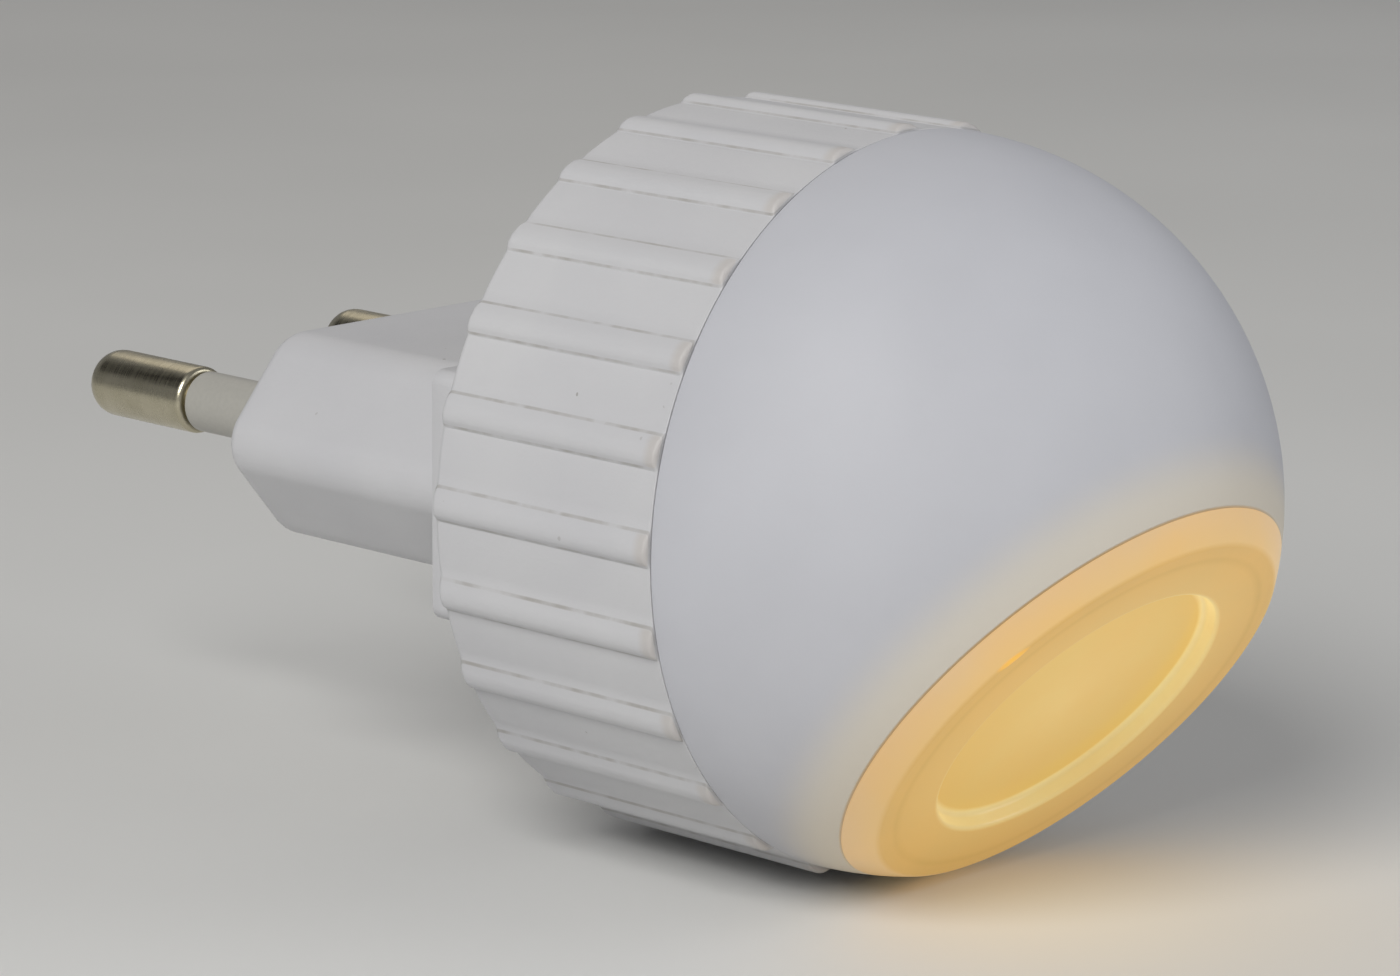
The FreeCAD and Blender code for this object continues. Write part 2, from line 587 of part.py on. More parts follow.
def make_dome_shell():
    """White dome: spigot for the grip, slanted cut with a collar for lens and LED board, three bosses."""
    body = add_body("dome_shell")
    profile = radial_sketch(body, "dome_profile")
    outline(profile, [
        (SPIGOT_BORE, f"-({GRIP_FRONT} - dome_spigot)"),
        (SPIGOT_RADIUS, f"-({GRIP_FRONT} - dome_spigot)"),
        (SPIGOT_RADIUS, f"-{DOME_BACK}"),
        (f"sqrt(head_radius ^ 2 - ({DOME_BACK} - {DOME_CENTRE}) ^ 2)", f"-{DOME_BACK}",
         "0", f"-{DOME_CENTRE}"),
        ("0", f"-({DOME_CENTRE} + head_radius)"),
        ("0", f"-({DOME_CENTRE} + {DOME_INNER})", "0", f"-{DOME_CENTRE}"),
        (f"sqrt({DOME_INNER} ^ 2 - ({SPIGOT_FRONT} - {DOME_CENTRE}) ^ 2)", f"-{SPIGOT_FRONT}"),
        (SPIGOT_BORE, f"-{SPIGOT_FRONT}"),
    ])
    turn(body, profile, "dome")
    collar = lens_sketch(body, "collar_section", LENS_SEAT)
    circle(collar, "0", "0", f"{COLLAR_BORE} + collar_wall")
    extrude(body, collar, "collar", "led_board_depth + ledge_thick", towards_wall=True)
    cut = lens_sketch(body, "slanted_cut_section", LENS_SEAT)
    circle(cut, "0", "0", "head_radius")
    extrude(body, cut, "slanted_cut", "head_radius", cut=True)
    bore = lens_sketch(body, "collar_bore_section", LENS_SEAT)
    circle(bore, "0", "0", COLLAR_BORE)
    extrude(body, bore, "collar_bore", "led_board_depth", towards_wall=True, cut=True)
    window = lens_sketch(body, "ledge_window_section", LED_BOARD_BACK)
    circle(window, "0", "0", f"{COLLAR_BORE} - ledge_width")
    extrude(body, window, "ledge_window", "ledge_thick", towards_wall=True, cut=True)
    for angle in BOSS_ANGLES:
        boss = cross_sketch(body, f"boss_section_{angle}", BOARD_FRONT)
        circle(boss, *boss_place(angle), "boss_radius")
        extrude(body, boss, f"boss_{angle}", f"{SPIGOT_FRONT} - {BOARD_FRONT}")
        pilot = cross_sketch(body, f"boss_pilot_section_{angle}", BOARD_FRONT)
        circle(pilot, *boss_place(angle), "screw_radius")
        depth = f"{HEAD_BACK} + screw_radius * 1.3 + housing_screw_length + fit_gap - {BOARD_FRONT}"
        extrude(body, pilot, f"boss_pilot_{angle}", depth, cut=True)
    return body


def make_lens_cap():
    """The amber lens goes on with the dome's round to a flat face, with a shallow round recess."""
    body = add_body("lens_cap", tilted=True)
    profile = radial_sketch(body, "lens_profile")
    foot = f"({LENS_SEAT} + lens_line)"
    skirt = f"({COLLAR_BORE} - fit_gap)"
    floor = f"({LENS_FACE} - recess_depth)"
    outline(profile, [
        ("0", f"-({floor} - lens_floor)"),
        (f"{skirt} - lens_skirt_wall", f"-({floor} - lens_floor)"),
        (f"{skirt} - lens_skirt_wall", f"-{SKIRT_END}"),
        (skirt, f"-{SKIRT_END}"),
        (skirt, f"-{foot}"),
        (f"sqrt(head_radius ^ 2 - {foot} ^ 2)", f"-{foot}", "0", "0"),
        (FACE_RADIUS, f"-{LENS_FACE}"),
        (RECESS_RADIUS, f"-{LENS_FACE}"),
        (RECESS_RADIUS, f"-{floor}"),
        ("0", f"-{floor}"),
    ])
    cap = turn(body, profile, "lens_turned")
    outside = round_edges(body, cap, "lens_edge_rounding", "lens_edge_round", lambda edge: (
        is_ring(edge, FACE_RADIUS, LENS_FACE)))
    round_edges(body, outside, "recess_rounding", "recess_round", lambda edge: (
        is_ring(edge, RECESS_RADIUS, LENS_FACE)))
    return body


def make_reflector():
    """White cone between the LED board and the lens; the lens's skirt holds it down."""
    body = add_body("reflector", tilted=True)
    profile = radial_sketch(body, "reflector_profile")
    outer = f"({COLLAR_BORE} - fit_gap)"
    end = f"({SKIRT_END} - fit_gap)"
    outline(profile, [
        ("reflector_throat", f"-{LED_BOARD_FRONT}"),
        ("reflector_throat + reflector_wall", f"-{LED_BOARD_FRONT}"),
        (f"{outer} - reflector_rim + reflector_wall", f"-({end} - reflector_wall)"),
        (outer, f"-({end} - reflector_wall)"),
        (outer, f"-{end}"),
        (f"{outer} - reflector_rim", f"-{end}"),
    ])
    turn(body, profile, "reflector_turned")
    return body


def make_led_board():
    body = add_body("led_board", tilted=True)
    section = cross_sketch(body, "led_board_section", LED_BOARD_BACK)
    circle(section, "0", "0", LED_BOARD_SIZE)
    extrude(body, section, "led_board_disc", "led_board_thick")
    return body


def make_led_chips():
    """Three square chips round the lens's axis."""
    chips = []
    for number, angle in enumerate(BOSS_ANGLES, start=1):
        body = add_body(f"led_chip_{number}", tilted=True)
        section = cross_sketch(body, "chip_section", LED_BOARD_FRONT)
        rectangle(section, "led_width", "led_width",
                  f"led_ring_radius * cos({angle})", f"led_ring_radius * sin({angle})")
        extrude(body, section, "chip", "led_height")
        chips.append(body)
    return group("led_chips", chips)


def make_driver_board():
    body = add_body("driver_board")
    section = cross_sketch(body, "board_section", BOARD_BACK)
    circle(section, "0", "0", BOARD_SIZE)
    for angle in BOSS_ANGLES:
        circle(section, *boss_place(angle), "screw_radius + fit_gap")
    extrude(body, section, "board_disc", "board_thick")
    return body


def make_block_component(label, width, height, length, x, z, edge_round):
    """A moulded block that stands on the driver board."""
    body = add_body(label)
    section = cross_sketch(body, "component_section", BOARD_FRONT)
    rectangle(section, width, height, x, z)
    block = extrude(body, section, "component_block", length)
    round_edges(body, block, "component_rounds", edge_round, along_axis)
    return body


def make_smoothing_capacitor():
    """A can that stands on the driver board, with its rolled groove near the foot."""
    body = add_body("smoothing_capacitor", depth=BOARD_FRONT)
    body.setExpression("Placement.Base.x", cell("film_cap_width / 2 + can_radius - 1"))
    body.setExpression("Placement.Base.z", cell("can_radius / 2"))
    profile = radial_sketch(body, "can_profile")
    groove = "(can_radius / 2)"
    outline(profile, [
        ("0", "0"), ("can_radius", "0"),
        ("can_radius", f"-{groove} + 0.5"), ("can_radius - 0.4", f"-{groove}"), ("can_radius", f"-{groove} - 0.5"),
        ("can_radius", "-can_height"), ("0", "-can_height"),
    ])
    turn(body, profile, "can_turned")
    return body


def make_resistor(label, length, radius, x, z):
    """A resistor that lies along X over the driver board on its two bent wires."""
    axis_depth = value(BOARD_FRONT) + value(radius) + value("fit_gap")
    centre = FreeCAD.Vector(value(x), -axis_depth, value(z))
    half = value(length) / 2
    reach = half + 3 * value("wire_leg_radius")
    barrel = Part.makeCylinder(value(radius), 2 * half, centre - FreeCAD.Vector(half, 0, 0), FreeCAD.Vector(1, 0, 0))
    barrel = barrel.makeFillet(value(radius) / 3, barrel.Edges[0:1] + barrel.Edges[2:3])
    board = -value(BOARD_FRONT)
    route = [
        FreeCAD.Vector(centre.x - reach, board, centre.z), FreeCAD.Vector(centre.x - reach, centre.y, centre.z),
        FreeCAD.Vector(centre.x + reach, centre.y, centre.z), FreeCAD.Vector(centre.x + reach, board, centre.z),
    ]
    wire = pipe(route, value("wire_leg_radius"), 2 * value("wire_leg_radius"))
    return add_shape(label, barrel.fuse(wire).removeSplitter())


def rounded_path(points, bend):
    """Straight runs through the points, joined by tangent arcs of one bend radius."""
    edges = []
    start = points[0]
    for before, corner, after in zip(points, points[1:], points[2:]):
        arriving = (corner - before).normalize()
        leaving = (after - corner).normalize()
        half_turn = arriving.getAngle(leaving) / 2
        setback = bend * math.tan(half_turn)
        first, last = corner - arriving * setback, corner + leaving * setback
        towards_centre = (leaving - arriving).normalize()
        middle = corner + towards_centre * bend * (1 / math.cos(half_turn) - 1)
        edges.append(Part.LineSegment(start, first).toShape())
        edges.append(Part.Arc(first, middle, last).toShape())
        start = last
    edges.append(Part.LineSegment(start, points[-1]).toShape())
    return Part.Wire(edges)


def pipe(points, radius, bend):
    """A round wire along a path, with its volume compared with its section times its length."""
    path = rounded_path(points, bend)
    ring = Part.Wire(Part.makeCircle(radius, points[0], points[1] - points[0]))
    solid = path.makePipeShell([ring], True, True)
    expected = math.pi * radius ** 2 * path.Length
    if abs(solid.Volume - expected) > PIPE_VOLUME_TOLERANCE * expected:
        raise RuntimeError(f"a wire has {solid.Volume:.2f} mm3 in place of {expected:.2f} mm3")
    return solid


def add_shape(label, shape):
    """A piece whose form is given directly."""
    feature = DOCUMENT.addObject("Part::Feature", label)
    feature.Shape = shape
    feature.Label = label
    return feature


def make_mains_lead(label, side):
    """From a pin's tail, inwards, and through the hub's bore to the driver board's back."""
    tail = side * value("pin_spacing") / 2
    inside = side * 2 * value("lead_radius")
    bend = 3 * value("lead_radius")
    turn_in = value(TAIL_END) + bend
    turn_out = value(CAVITY_END) - bend / 2
    return add_shape(label, pipe([
        FreeCAD.Vector(tail, -value(TAIL_END), 0),
        FreeCAD.Vector(tail, -turn_in, 0),
        FreeCAD.Vector(inside, -turn_out, 0),
        FreeCAD.Vector(inside, -value(BOARD_BACK) + value("running_gap"), 0),
    ], value("lead_radius"), bend))


def make_led_lead(label, side):
    """From the driver board's front to the LED board's back, which it meets square."""
    tilt = math.radians(value("lens_tilt"))
    look = FreeCAD.Vector(0, -math.cos(tilt), -math.sin(tilt))
    across = FreeCAD.Vector(side * value("led_lead_spacing") / 2, 0, 0)
    finish = FreeCAD.Vector(0, -value(DOME_CENTRE), 0) + look * value(LED_BOARD_BACK) + across
    corner = finish - look * value(LED_BOARD_BACK)
    start = FreeCAD.Vector(corner.x, -value(BOARD_FRONT), corner.z)
    return add_shape(label, pipe([start, corner, finish], value("led_lead_radius"), 10 * value("led_lead_radius")))


def make_screw(label, radius, length, x, depth, z="0", from_wall=True):
    """A pan head screw; its head's underside is at the depth, and it enters from the wall or the dome side."""
    body = add_body(label)
    if not from_wall:
        body.Placement = FreeCAD.Placement(FreeCAD.Vector(), FreeCAD.Rotation(FreeCAD.Vector(0, 0, 1), 180))
    body.setExpression("Placement.Base.x", cell(x))
    body.setExpression("Placement.Base.y", cell(f"-({depth})"))
    body.setExpression("Placement.Base.z", cell(z))
    profile = radial_sketch(body, "screw_profile")
    head = f"({radius} * 1.3)"
    outline(profile, [
        ("0", f"-({length})"), (f"{radius} / 3", f"-({length})"), (radius, f"-({length}) + {radius}"),
        (radius, "0"), (f"{radius} * 2", "0"), (f"{radius} * 2", f"{head} * 0.6"),
        (f"{radius} * 1.5", head), ("0", head),
    ])
    turn(body, profile, "screw_turned")
    slot = cross_sketch(body, "slot_section", f"-{head}")
    rectangle(slot, f"{radius} * 2.6", f"{radius} * 0.4")
    extrude(body, slot, "slot", f"{radius} * 0.6", cut=True)
    cross_slot = cross_sketch(body, "cross_slot_section", f"-{head}")
    rectangle(cross_slot, f"{radius} * 0.4", f"{radius} * 2.6")
    extrude(body, cross_slot, "cross_slot", f"{radius} * 0.6", cut=True)
    return body


def group(label, pieces):
    """Alike pieces that share one node."""
    compound = DOCUMENT.addObject("Part::Compound", label)
    compound.Links = pieces
    compound.Label = label
    return compound


def make_screw_pair(label, radius, length, spacing, depth):
    """Two screws side by side that enter from the dome side."""
    pair = [
        make_screw(f"{label}_{side}", radius, length, f"{sign}{spacing}", depth, from_wall=False)
        for side, sign in (("left", "-"), ("right", ""))
    ]
    return group(label, pair)


def make_housing_screws():
    seat = f"{HEAD_BACK} + screw_radius * 1.3 + fit_gap"
    return group("housing_screws", [
        make_screw(f"housing_screw_{angle}", "screw_radius", "housing_screw_length",
                   boss_place(angle)[0], seat, boss_place(angle)[1])
        for angle in BOSS_ANGLES
    ])


def make_all():
    """Every piece, in the order in which it would be put together."""
    pieces = [make_plug_body()]
    for side, sign in (("left", "-"), ("right", "")):
        pieces.append(make_pin(side, sign))
        pieces.append(make_pin_sleeve(side, sign))
    pieces.append(make_pin_clamp())
    pieces.append(make_screw_pair("clamp_screws", "fine_screw_radius", "clamp_screw_length - fit_gap",
                                  CLAMP_SCREW_X, CLAMP_FRONT))
    pieces.append(make_mains_lead("live_lead", -1))
    pieces.append(make_mains_lead("neutral_lead", 1))
    pieces.append(make_swivel_hub())
    pieces.append(make_screw_pair("hub_screws", "screw_radius", f"{HUB_SCREW_DEPTH} - {CAVITY_END} + {POST_LENGTH}",
                                  HUB_SCREW_X, HUB_SCREW_DEPTH))
    pieces.append(make_disc_spring())
    pieces.append(make_retaining_ring())
    pieces.append(make_screw_pair("ring_screws", "fine_screw_radius", "ring_thick + fine_screw_length - fit_gap",
                                  "ring_screw_radius", RING_FRONT))
    pieces.append(make_grip_housing())
    pieces.append(make_driver_board())
    pieces.append(make_block_component("film_capacitor", "film_cap_width", "film_cap_depth", "film_cap_height",
                                       "-film_cap_depth / 2", "film_cap_depth + fit_gap * 10", "film_cap_depth / 12"))
    pieces.append(make_smoothing_capacitor())
    pieces.append(make_block_component("bridge_rectifier", "rectifier_width", "rectifier_width", "rectifier_height",
                                       "-rectifier_width * 1.8", "-rectifier_width / 2", "rectifier_width / 12"))
    pieces.append(make_resistor("fuse_resistor", "fuse_length", "fuse_radius", "-fuse_radius", "-fuse_length"))
    pieces.append(make_resistor("bleed_resistor", "bleeder_length", "bleeder_radius",
                                "bleeder_length + bleeder_radius", "-can_radius - bleeder_radius"))
    pieces.append(make_housing_screws())
    pieces.append(make_dome_shell())
    pieces.append(make_led_board())
    pieces.append(make_led_chips())
    pieces.append(make_led_lead("led_lead_plus", -1))
    pieces.append(make_led_lead("led_lead_minus", 1))
    pieces.append(make_reflector())
    pieces.append(make_lens_cap())
    return pieces


def check_document(pieces):
    """Every feature has to be up to date, and every piece a valid solid."""
    for item in DOCUMENT.Objects:
        if "Invalid" in item.State or "Error" in item.State:
            raise RuntimeError(f"{item.Label} of {item.TypeId} failed")
    for piece in pieces:
        if piece.Shape.isNull() or not piece.Shape.isValid() or not piece.Shape.Solids:
            raise RuntimeError(f"{piece.Label} is not a valid solid")
        if piece.TypeId != "Part::Compound" and len(piece.Shape.Solids) != 1:
            raise RuntimeError(f"{piece.Label} falls into {len(piece.Shape.Solids)} solids")


def main():
    pieces = make_all()
    DOCUMENT.recompute()
    check_document(pieces)
    os.makedirs("parts", exist_ok=True)
    for piece in pieces:
        piece.Shape.exportStep(f"parts/{piece.Label}.step")
        box = piece.Shape.BoundBox
        print(f"{piece.Label:22} {len(piece.Shape.Solids)} {piece.Shape.Volume:9.1f} mm3"
              f"  x {box.XMin:6.2f} {box.XMax:6.2f}  y {box.YMin:6.2f} {box.YMax:6.2f}"
              f"  z {box.ZMin:6.2f} {box.ZMax:6.2f}")


main()
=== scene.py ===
# %% [markdown]
# # Dressing a plug in night light
# The construction is already fixed: a flat two-pin plug body carries a round head that turns about the
# plug's axis. This lesson gives each visible piece its real skin: moulded ABS, nickel-plated pins, an
# amber lens that glows. Every piece keeps the place that the construction gives it and rides on its own
# body, so the head still turns.

# %% Load the frame
import math

import bmesh
import bpy
import numpy as np
from mathutils import Matrix, Vector


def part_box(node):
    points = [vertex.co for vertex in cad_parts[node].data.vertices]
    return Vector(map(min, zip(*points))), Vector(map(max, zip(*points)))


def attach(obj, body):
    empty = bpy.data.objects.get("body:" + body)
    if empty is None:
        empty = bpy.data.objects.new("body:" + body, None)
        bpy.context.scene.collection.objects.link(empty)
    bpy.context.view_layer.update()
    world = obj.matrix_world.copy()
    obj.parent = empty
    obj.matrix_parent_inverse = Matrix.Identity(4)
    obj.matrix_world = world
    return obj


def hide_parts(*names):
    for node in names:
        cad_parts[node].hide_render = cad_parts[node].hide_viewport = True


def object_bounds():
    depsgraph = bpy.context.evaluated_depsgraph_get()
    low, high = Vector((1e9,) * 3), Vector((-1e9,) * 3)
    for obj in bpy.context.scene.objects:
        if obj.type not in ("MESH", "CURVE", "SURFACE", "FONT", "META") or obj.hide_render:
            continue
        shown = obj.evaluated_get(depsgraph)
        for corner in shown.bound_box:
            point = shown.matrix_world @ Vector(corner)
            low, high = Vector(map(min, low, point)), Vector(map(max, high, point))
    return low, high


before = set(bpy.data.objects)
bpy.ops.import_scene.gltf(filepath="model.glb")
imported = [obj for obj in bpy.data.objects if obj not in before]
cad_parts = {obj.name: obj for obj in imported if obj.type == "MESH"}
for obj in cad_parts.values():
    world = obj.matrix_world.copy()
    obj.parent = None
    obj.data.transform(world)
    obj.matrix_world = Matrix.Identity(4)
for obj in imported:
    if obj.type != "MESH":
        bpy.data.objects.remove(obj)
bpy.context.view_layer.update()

# %% [markdown]
# ## Sizes
# Lengths are written in millimetres and multiplied by MM, because Blender works in metres. Whatever the
# frame's boxes can tell is measured from them. The rest are the small sizes that a box can't show, such
# as a wall or the radius of an edge. Depths run from the plug's face towards the dome, along -Y.

# %% Measure the frame
MM = 0.001


def extent(node, axis):
    """Lowest and highest coordinate of a node along an axis."""
    low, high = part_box(node)
    return low["XYZ".index(axis)], high["XYZ".index(axis)]


PLUG_LENGTH = -extent("plug_body", "Y")[0]
PLUG_HALF_WIDTH = extent("plug_body", "X")[1]
PLUG_HALF_HEIGHT = extent("plug_body", "Z")[1]
PIN_LENGTH = extent("pin_right", "Y")[1]
PIN_X = sum(extent("pin_right", "X")) / 2
SLEEVE_END = extent("pin_sleeve_right", "Y")[1]
SLEEVE_RADIUS = extent("pin_sleeve_right", "Z")[1]
GRIP_BACK = -extent("grip_housing", "Y")[1]
GRIP_FRONT = -extent("grip_housing", "Y")[0]
HEAD_RADIUS = extent("dome_shell", "X")[1]
SEAM_LINE = 0.07 * MM
DOME_BACK = GRIP_FRONT + SEAM_LINE
DOME_CENTRE = GRIP_FRONT - 0.2 * MM
print(f"head radius {HEAD_RADIUS / MM:.2f} mm, dome centre {DOME_CENTRE / MM:.2f} mm behind the face")

# %% [markdown]
# The lens sits in a frame of its own, tilted down from the plug's axis. The dome is a ball, so once the
# opening's radius is known, the ball's equation gives how far out the seat lies, and the same again for
# the lens's flat face. All heights of the lens are counted from the ball's centre along the lens's
# axis.

# %% The slanted lens
LENS_TILT = math.radians(38.0)
OPENING_RADIUS = 14.7 * MM
LENS_RISE = 1.45 * MM
LENS_SEAT = math.sqrt(HEAD_RADIUS ** 2 - OPENING_RADIUS ** 2)
LENS_FACE = LENS_SEAT + LENS_RISE
FACE_RADIUS = math.sqrt(HEAD_RADIUS ** 2 - LENS_FACE ** 2)
RECESS_RADIUS = 9.2 * MM
RECESS_DEPTH = 1.0 * MM
SEAT_WIDTH = 2.7 * MM
COLLAR_BORE = OPENING_RADIUS - SEAT_WIDTH
CENTRE = Vector((0, -DOME_CENTRE, 0))
FORWARD = Vector((0, -1, 0))
PIN_AXIS = Vector((0, 1, 0))
LENS_LOOK = Vector((0, -math.cos(LENS_TILT), -math.sin(LENS_TILT)))
LENS_UPHILL = Vector((0, -math.sin(LENS_TILT), math.cos(LENS_TILT)))
print(f"lens seat {LENS_SEAT / MM:.2f} mm, face {LENS_FACE / MM:.2f} mm from the ball's centre")

# %% [markdown]
# ## The camera
# It stands at the place where the photograph was taken, left of the dome, a little above the plug's
# axis, about 30 cm away with a long lens. A slight roll is part of that view. It was found from the
# pins, the ribs, the seam and the dome's outline together.

# %% Camera
PHOTO_WIDTH = 1400
SENSOR = 36.0
FOCAL_PIXELS = 5400.0
CAMERA_AZIMUTH = math.radians(-46.6)
CAMERA_ELEVATION = math.radians(12.6)
CAMERA_ROLL = math.radians(0.46)
CAMERA_DISTANCE = 300.0 * MM
CAMERA_AIM = Vector((0, -30, 0)) * MM
CAMERA_SIDESTEP = -6.2 * MM
CAMERA_LIFT = -0.4 * MM


def make_camera():
    back = Vector((math.sin(CAMERA_AZIMUTH) * math.cos(CAMERA_ELEVATION),
                   -math.cos(CAMERA_AZIMUTH) * math.cos(CAMERA_ELEVATION), math.sin(CAMERA_ELEVATION)))
    level = Vector((math.cos(CAMERA_AZIMUTH), math.sin(CAMERA_AZIMUTH), 0))
    upright = back.cross(level)
    right = level * math.cos(CAMERA_ROLL) + upright * math.sin(CAMERA_ROLL)
    up = upright * math.cos(CAMERA_ROLL) - level * math.sin(CAMERA_ROLL)
    place = CAMERA_AIM + back * CAMERA_DISTANCE + right * CAMERA_SIDESTEP + up * CAMERA_LIFT
    data = bpy.data.cameras.new("portrait_camera")
    data.sensor_width = SENSOR
    data.lens = FOCAL_PIXELS / PHOTO_WIDTH * SENSOR
    data.clip_start = 10 * MM
    camera = bpy.data.objects.new("portrait_camera", data)
    camera.matrix_world = Matrix.Translation(place) @ Matrix((right, up, back)).transposed().to_4x4()
    bpy.context.collection.objects.link(camera)
    bpy.context.scene.camera = camera
    print(f"camera lens {data.lens:.1f} mm")


make_camera()

# %% [markdown]
# ## Light
# A product portrait of white plastic needs soft light, or its edges burn out. Three large area lamps
# stand round the object: the strongest is on the left, a little above, where it faces the ribs and the
# plug body, and the others keep the right and the back from going flat. The world adds most of the
# light, as an even grey. Their levels are set so that a colour renders about as bright as it is
# written.

# %% Lamps and world
bpy.context.scene.view_settings.view_transform = "Standard"
LAMPS = {
    "key_lamp": {"place": (-390, -170, 330), "size": 300, "power": 1.95, "colour": (1.0, 0.99, 0.97)},
    "fill_lamp": {"place": (330, -420, 230), "size": 420, "power": 0.85, "colour": (0.97, 0.98, 1.0)},
    "back_lamp": {"place": (200, 280, 330), "size": 300, "power": 0.15, "colour": (1.0, 0.92, 0.8)},
}
WORLD_LEVEL = 0.22


def make_lamps():
    for name, lamp in LAMPS.items():
        data = bpy.data.lights.new(name, "AREA")
        data.shape = "DISK"
        data.size = lamp["size"] * MM
        data.energy = lamp["power"]
        data.color = lamp["colour"]
        obj = bpy.data.objects.new(name, data)
        place = Vector(lamp["place"]) * MM
        obj.location = place
        obj.rotation_euler = (CAMERA_AIM - place).to_track_quat("-Z", "Y").to_euler()
        bpy.context.collection.objects.link(obj)
    print("lamps:", ", ".join(LAMPS))


make_lamps()

# %% [markdown]
# ## Colour and node helpers
# Colours are written as sRGB hex values, as a paint chart gives them, and one function turns them to
# the linear numbers that a shader wants. Another adds one node with its settings and links, and a third
# starts a material. Every material reads Object coordinates, so its pattern stays fixed to the piece
# when the head turns.

# %% Helpers for materials


def colour(code):
    """Linear RGBA from an sRGB hex code."""
    channels = [int(code[place:place + 2], 16) / 255 for place in (1, 3, 5)]
    linear = [part / 12.92 if part <= 0.04045 else ((part + 0.055) / 1.055) ** 2.4 for part in channels]
    return (*linear, 1.0)


def grey(level):
    """A linear grey, for masks."""
    return (level, level, level, 1.0)


def add(tree, kind, inputs=None, **settings):
    """Add a node. An input is a socket to link from, or a value."""
    node = tree.nodes.new(kind)
    for name, setting in settings.items():
        setattr(node, name, setting)
    for key, source in (inputs or {}).items():
        if isinstance(source, bpy.types.NodeSocket):
            tree.links.new(source, node.inputs[key])
        else:
            node.inputs[key].default_value = source
    return node


def new_material(name, **principled):
    """A material with a Principled shader, and the piece's own coordinates."""
    material = bpy.data.materials.new(name)
    material.use_nodes = True
    tree = material.node_tree
    tree.nodes.clear()
    inputs = {key.replace("_", " "): setting for key, setting in principled.items()}
    shader = add(tree, "ShaderNodeBsdfPrincipled", inputs)
    add(tree, "ShaderNodeOutputMaterial", {"Surface": shader.outputs["BSDF"]})
    place = add(tree, "ShaderNodeTexCoord").outputs["Object"]
    return material, tree, shader, place


print("white reads as", [round(part, 2) for part in colour("#cbcbcd")[:3]], "to a shader")

# %% [markdown]
# Shader arithmetic takes one node per step. These short functions name the steps, so that a finish
# below reads like a formula. Three of them make patterns: noise with features of a real size, a ramp
# between two colours, and a mix of two colours by a mask.

# %% Node arithmetic


def maths(tree, operation, *terms):
    """One step of arithmetic on numbers."""
    return add(tree, "ShaderNodeMath", dict(enumerate(terms)), operation=operation).outputs[0]


def vector_maths(tree, operation, *terms):
    """One step of arithmetic on vectors. The steps that measure give a number."""
    node = add(tree, "ShaderNodeVectorMath", dict(enumerate(terms)), operation=operation)
    return node.outputs["Value" if operation in ("DOT_PRODUCT", "LENGTH", "DISTANCE") else "Vector"]


def scaled(tree, vector, factor):
    """A vector times a number."""
    node = add(tree, "ShaderNodeVectorMath", {0: vector, "Scale": factor}, operation="SCALE")
    return node.outputs["Vector"]


def rescale(tree, value, given, wanted=(0.0, 1.0), curve="LINEAR"):
    """Carry a value from one range to another, and hold it at both ends."""
    return add(tree, "ShaderNodeMapRange", {
        "Value": value, "From Min": given[0], "From Max": given[1],
        "To Min": wanted[0], "To Max": wanted[1],
    }, interpolation_type=curve).outputs["Result"]


def noise(tree, place, size, detail=2.0, roughness=0.5):
    """Noise whose features are about a size across, as a value round a half."""
    return add(tree, "ShaderNodeTexNoise", {
        "Vector": place, "Scale": 1 / size, "Detail": detail, "Roughness": roughness,
    }).outputs["Fac"]


def ramp(tree, factor, low, high, first=grey(0), second=grey(1)):
    """Blend from one colour to another as a factor goes from low to high."""
    node = add(tree, "ShaderNodeValToRGB", {"Fac": factor})
    for element, position, tint in zip(node.color_ramp.elements, (low, high), (first, second)):
        element.position = position
        element.color = tint
    return node.outputs["Color"]


def mix(tree, factor, first, second):
    """Mix two colours by a factor."""
    node = add(tree, "ShaderNodeMix", {"Factor": factor}, data_type="RGBA")
    for socket, source in zip([node.inputs[6], node.inputs[7]], [first, second]):
        if isinstance(source, bpy.types.NodeSocket):
            tree.links.new(source, socket)
        else:
            socket.default_value = source
    return node.outputs[2]


def relief(tree, shader, height, depth, strength):
    """Bump the surface by a height pattern of a real depth."""
    bump = add(tree, "ShaderNodeBump", {"Height": height, "Distance": depth, "Strength": strength})
    tree.links.new(bump.outputs["Normal"], shader.inputs["Normal"])


print("noise for a 0.28 mm grain has scale", round(1 / (0.28 * MM)))

# %% [markdown]
# The world is an even grey with one dark flag in it. A flag is the black card that a photographer hangs
# near a shiny part so that it has something to reflect: here it draws the dark streak along the upper
# side of the pins. Only mirror-like rays see it, so it takes no light from the white plastic.

# %% World
FLAG_DIRECTION = Vector((-0.34, 0.67, 0.66))
FLAG_EDGE = (math.cos(math.radians(24)), math.cos(math.radians(13)))
FLAG_LEVEL = 0.02


def make_world():
    world = bpy.data.worlds.new("studio_grey")
    world.use_nodes = True
    tree = world.node_tree
    tree.nodes.clear()
    look = add(tree, "ShaderNodeTexCoord").outputs["Generated"]
    nearness = vector_maths(tree, "DOT_PRODUCT", look, tuple(FLAG_DIRECTION.normalized()))
    flag = rescale(tree, nearness, FLAG_EDGE, curve="SMOOTHSTEP")
    mirrored = add(tree, "ShaderNodeLightPath").outputs["Is Glossy Ray"]
    level = rescale(tree, maths(tree, "MULTIPLY", flag, mirrored), (0.0, 1.0), (WORLD_LEVEL, FLAG_LEVEL))
    light = add(tree, "ShaderNodeBackground", {"Color": colour("#f4f5f8"), "Strength": level})
    add(tree, "ShaderNodeOutputWorld", {"Surface": light.outputs[0]})
    bpy.context.scene.world = world
    print("world level", WORLD_LEVEL)


make_world()

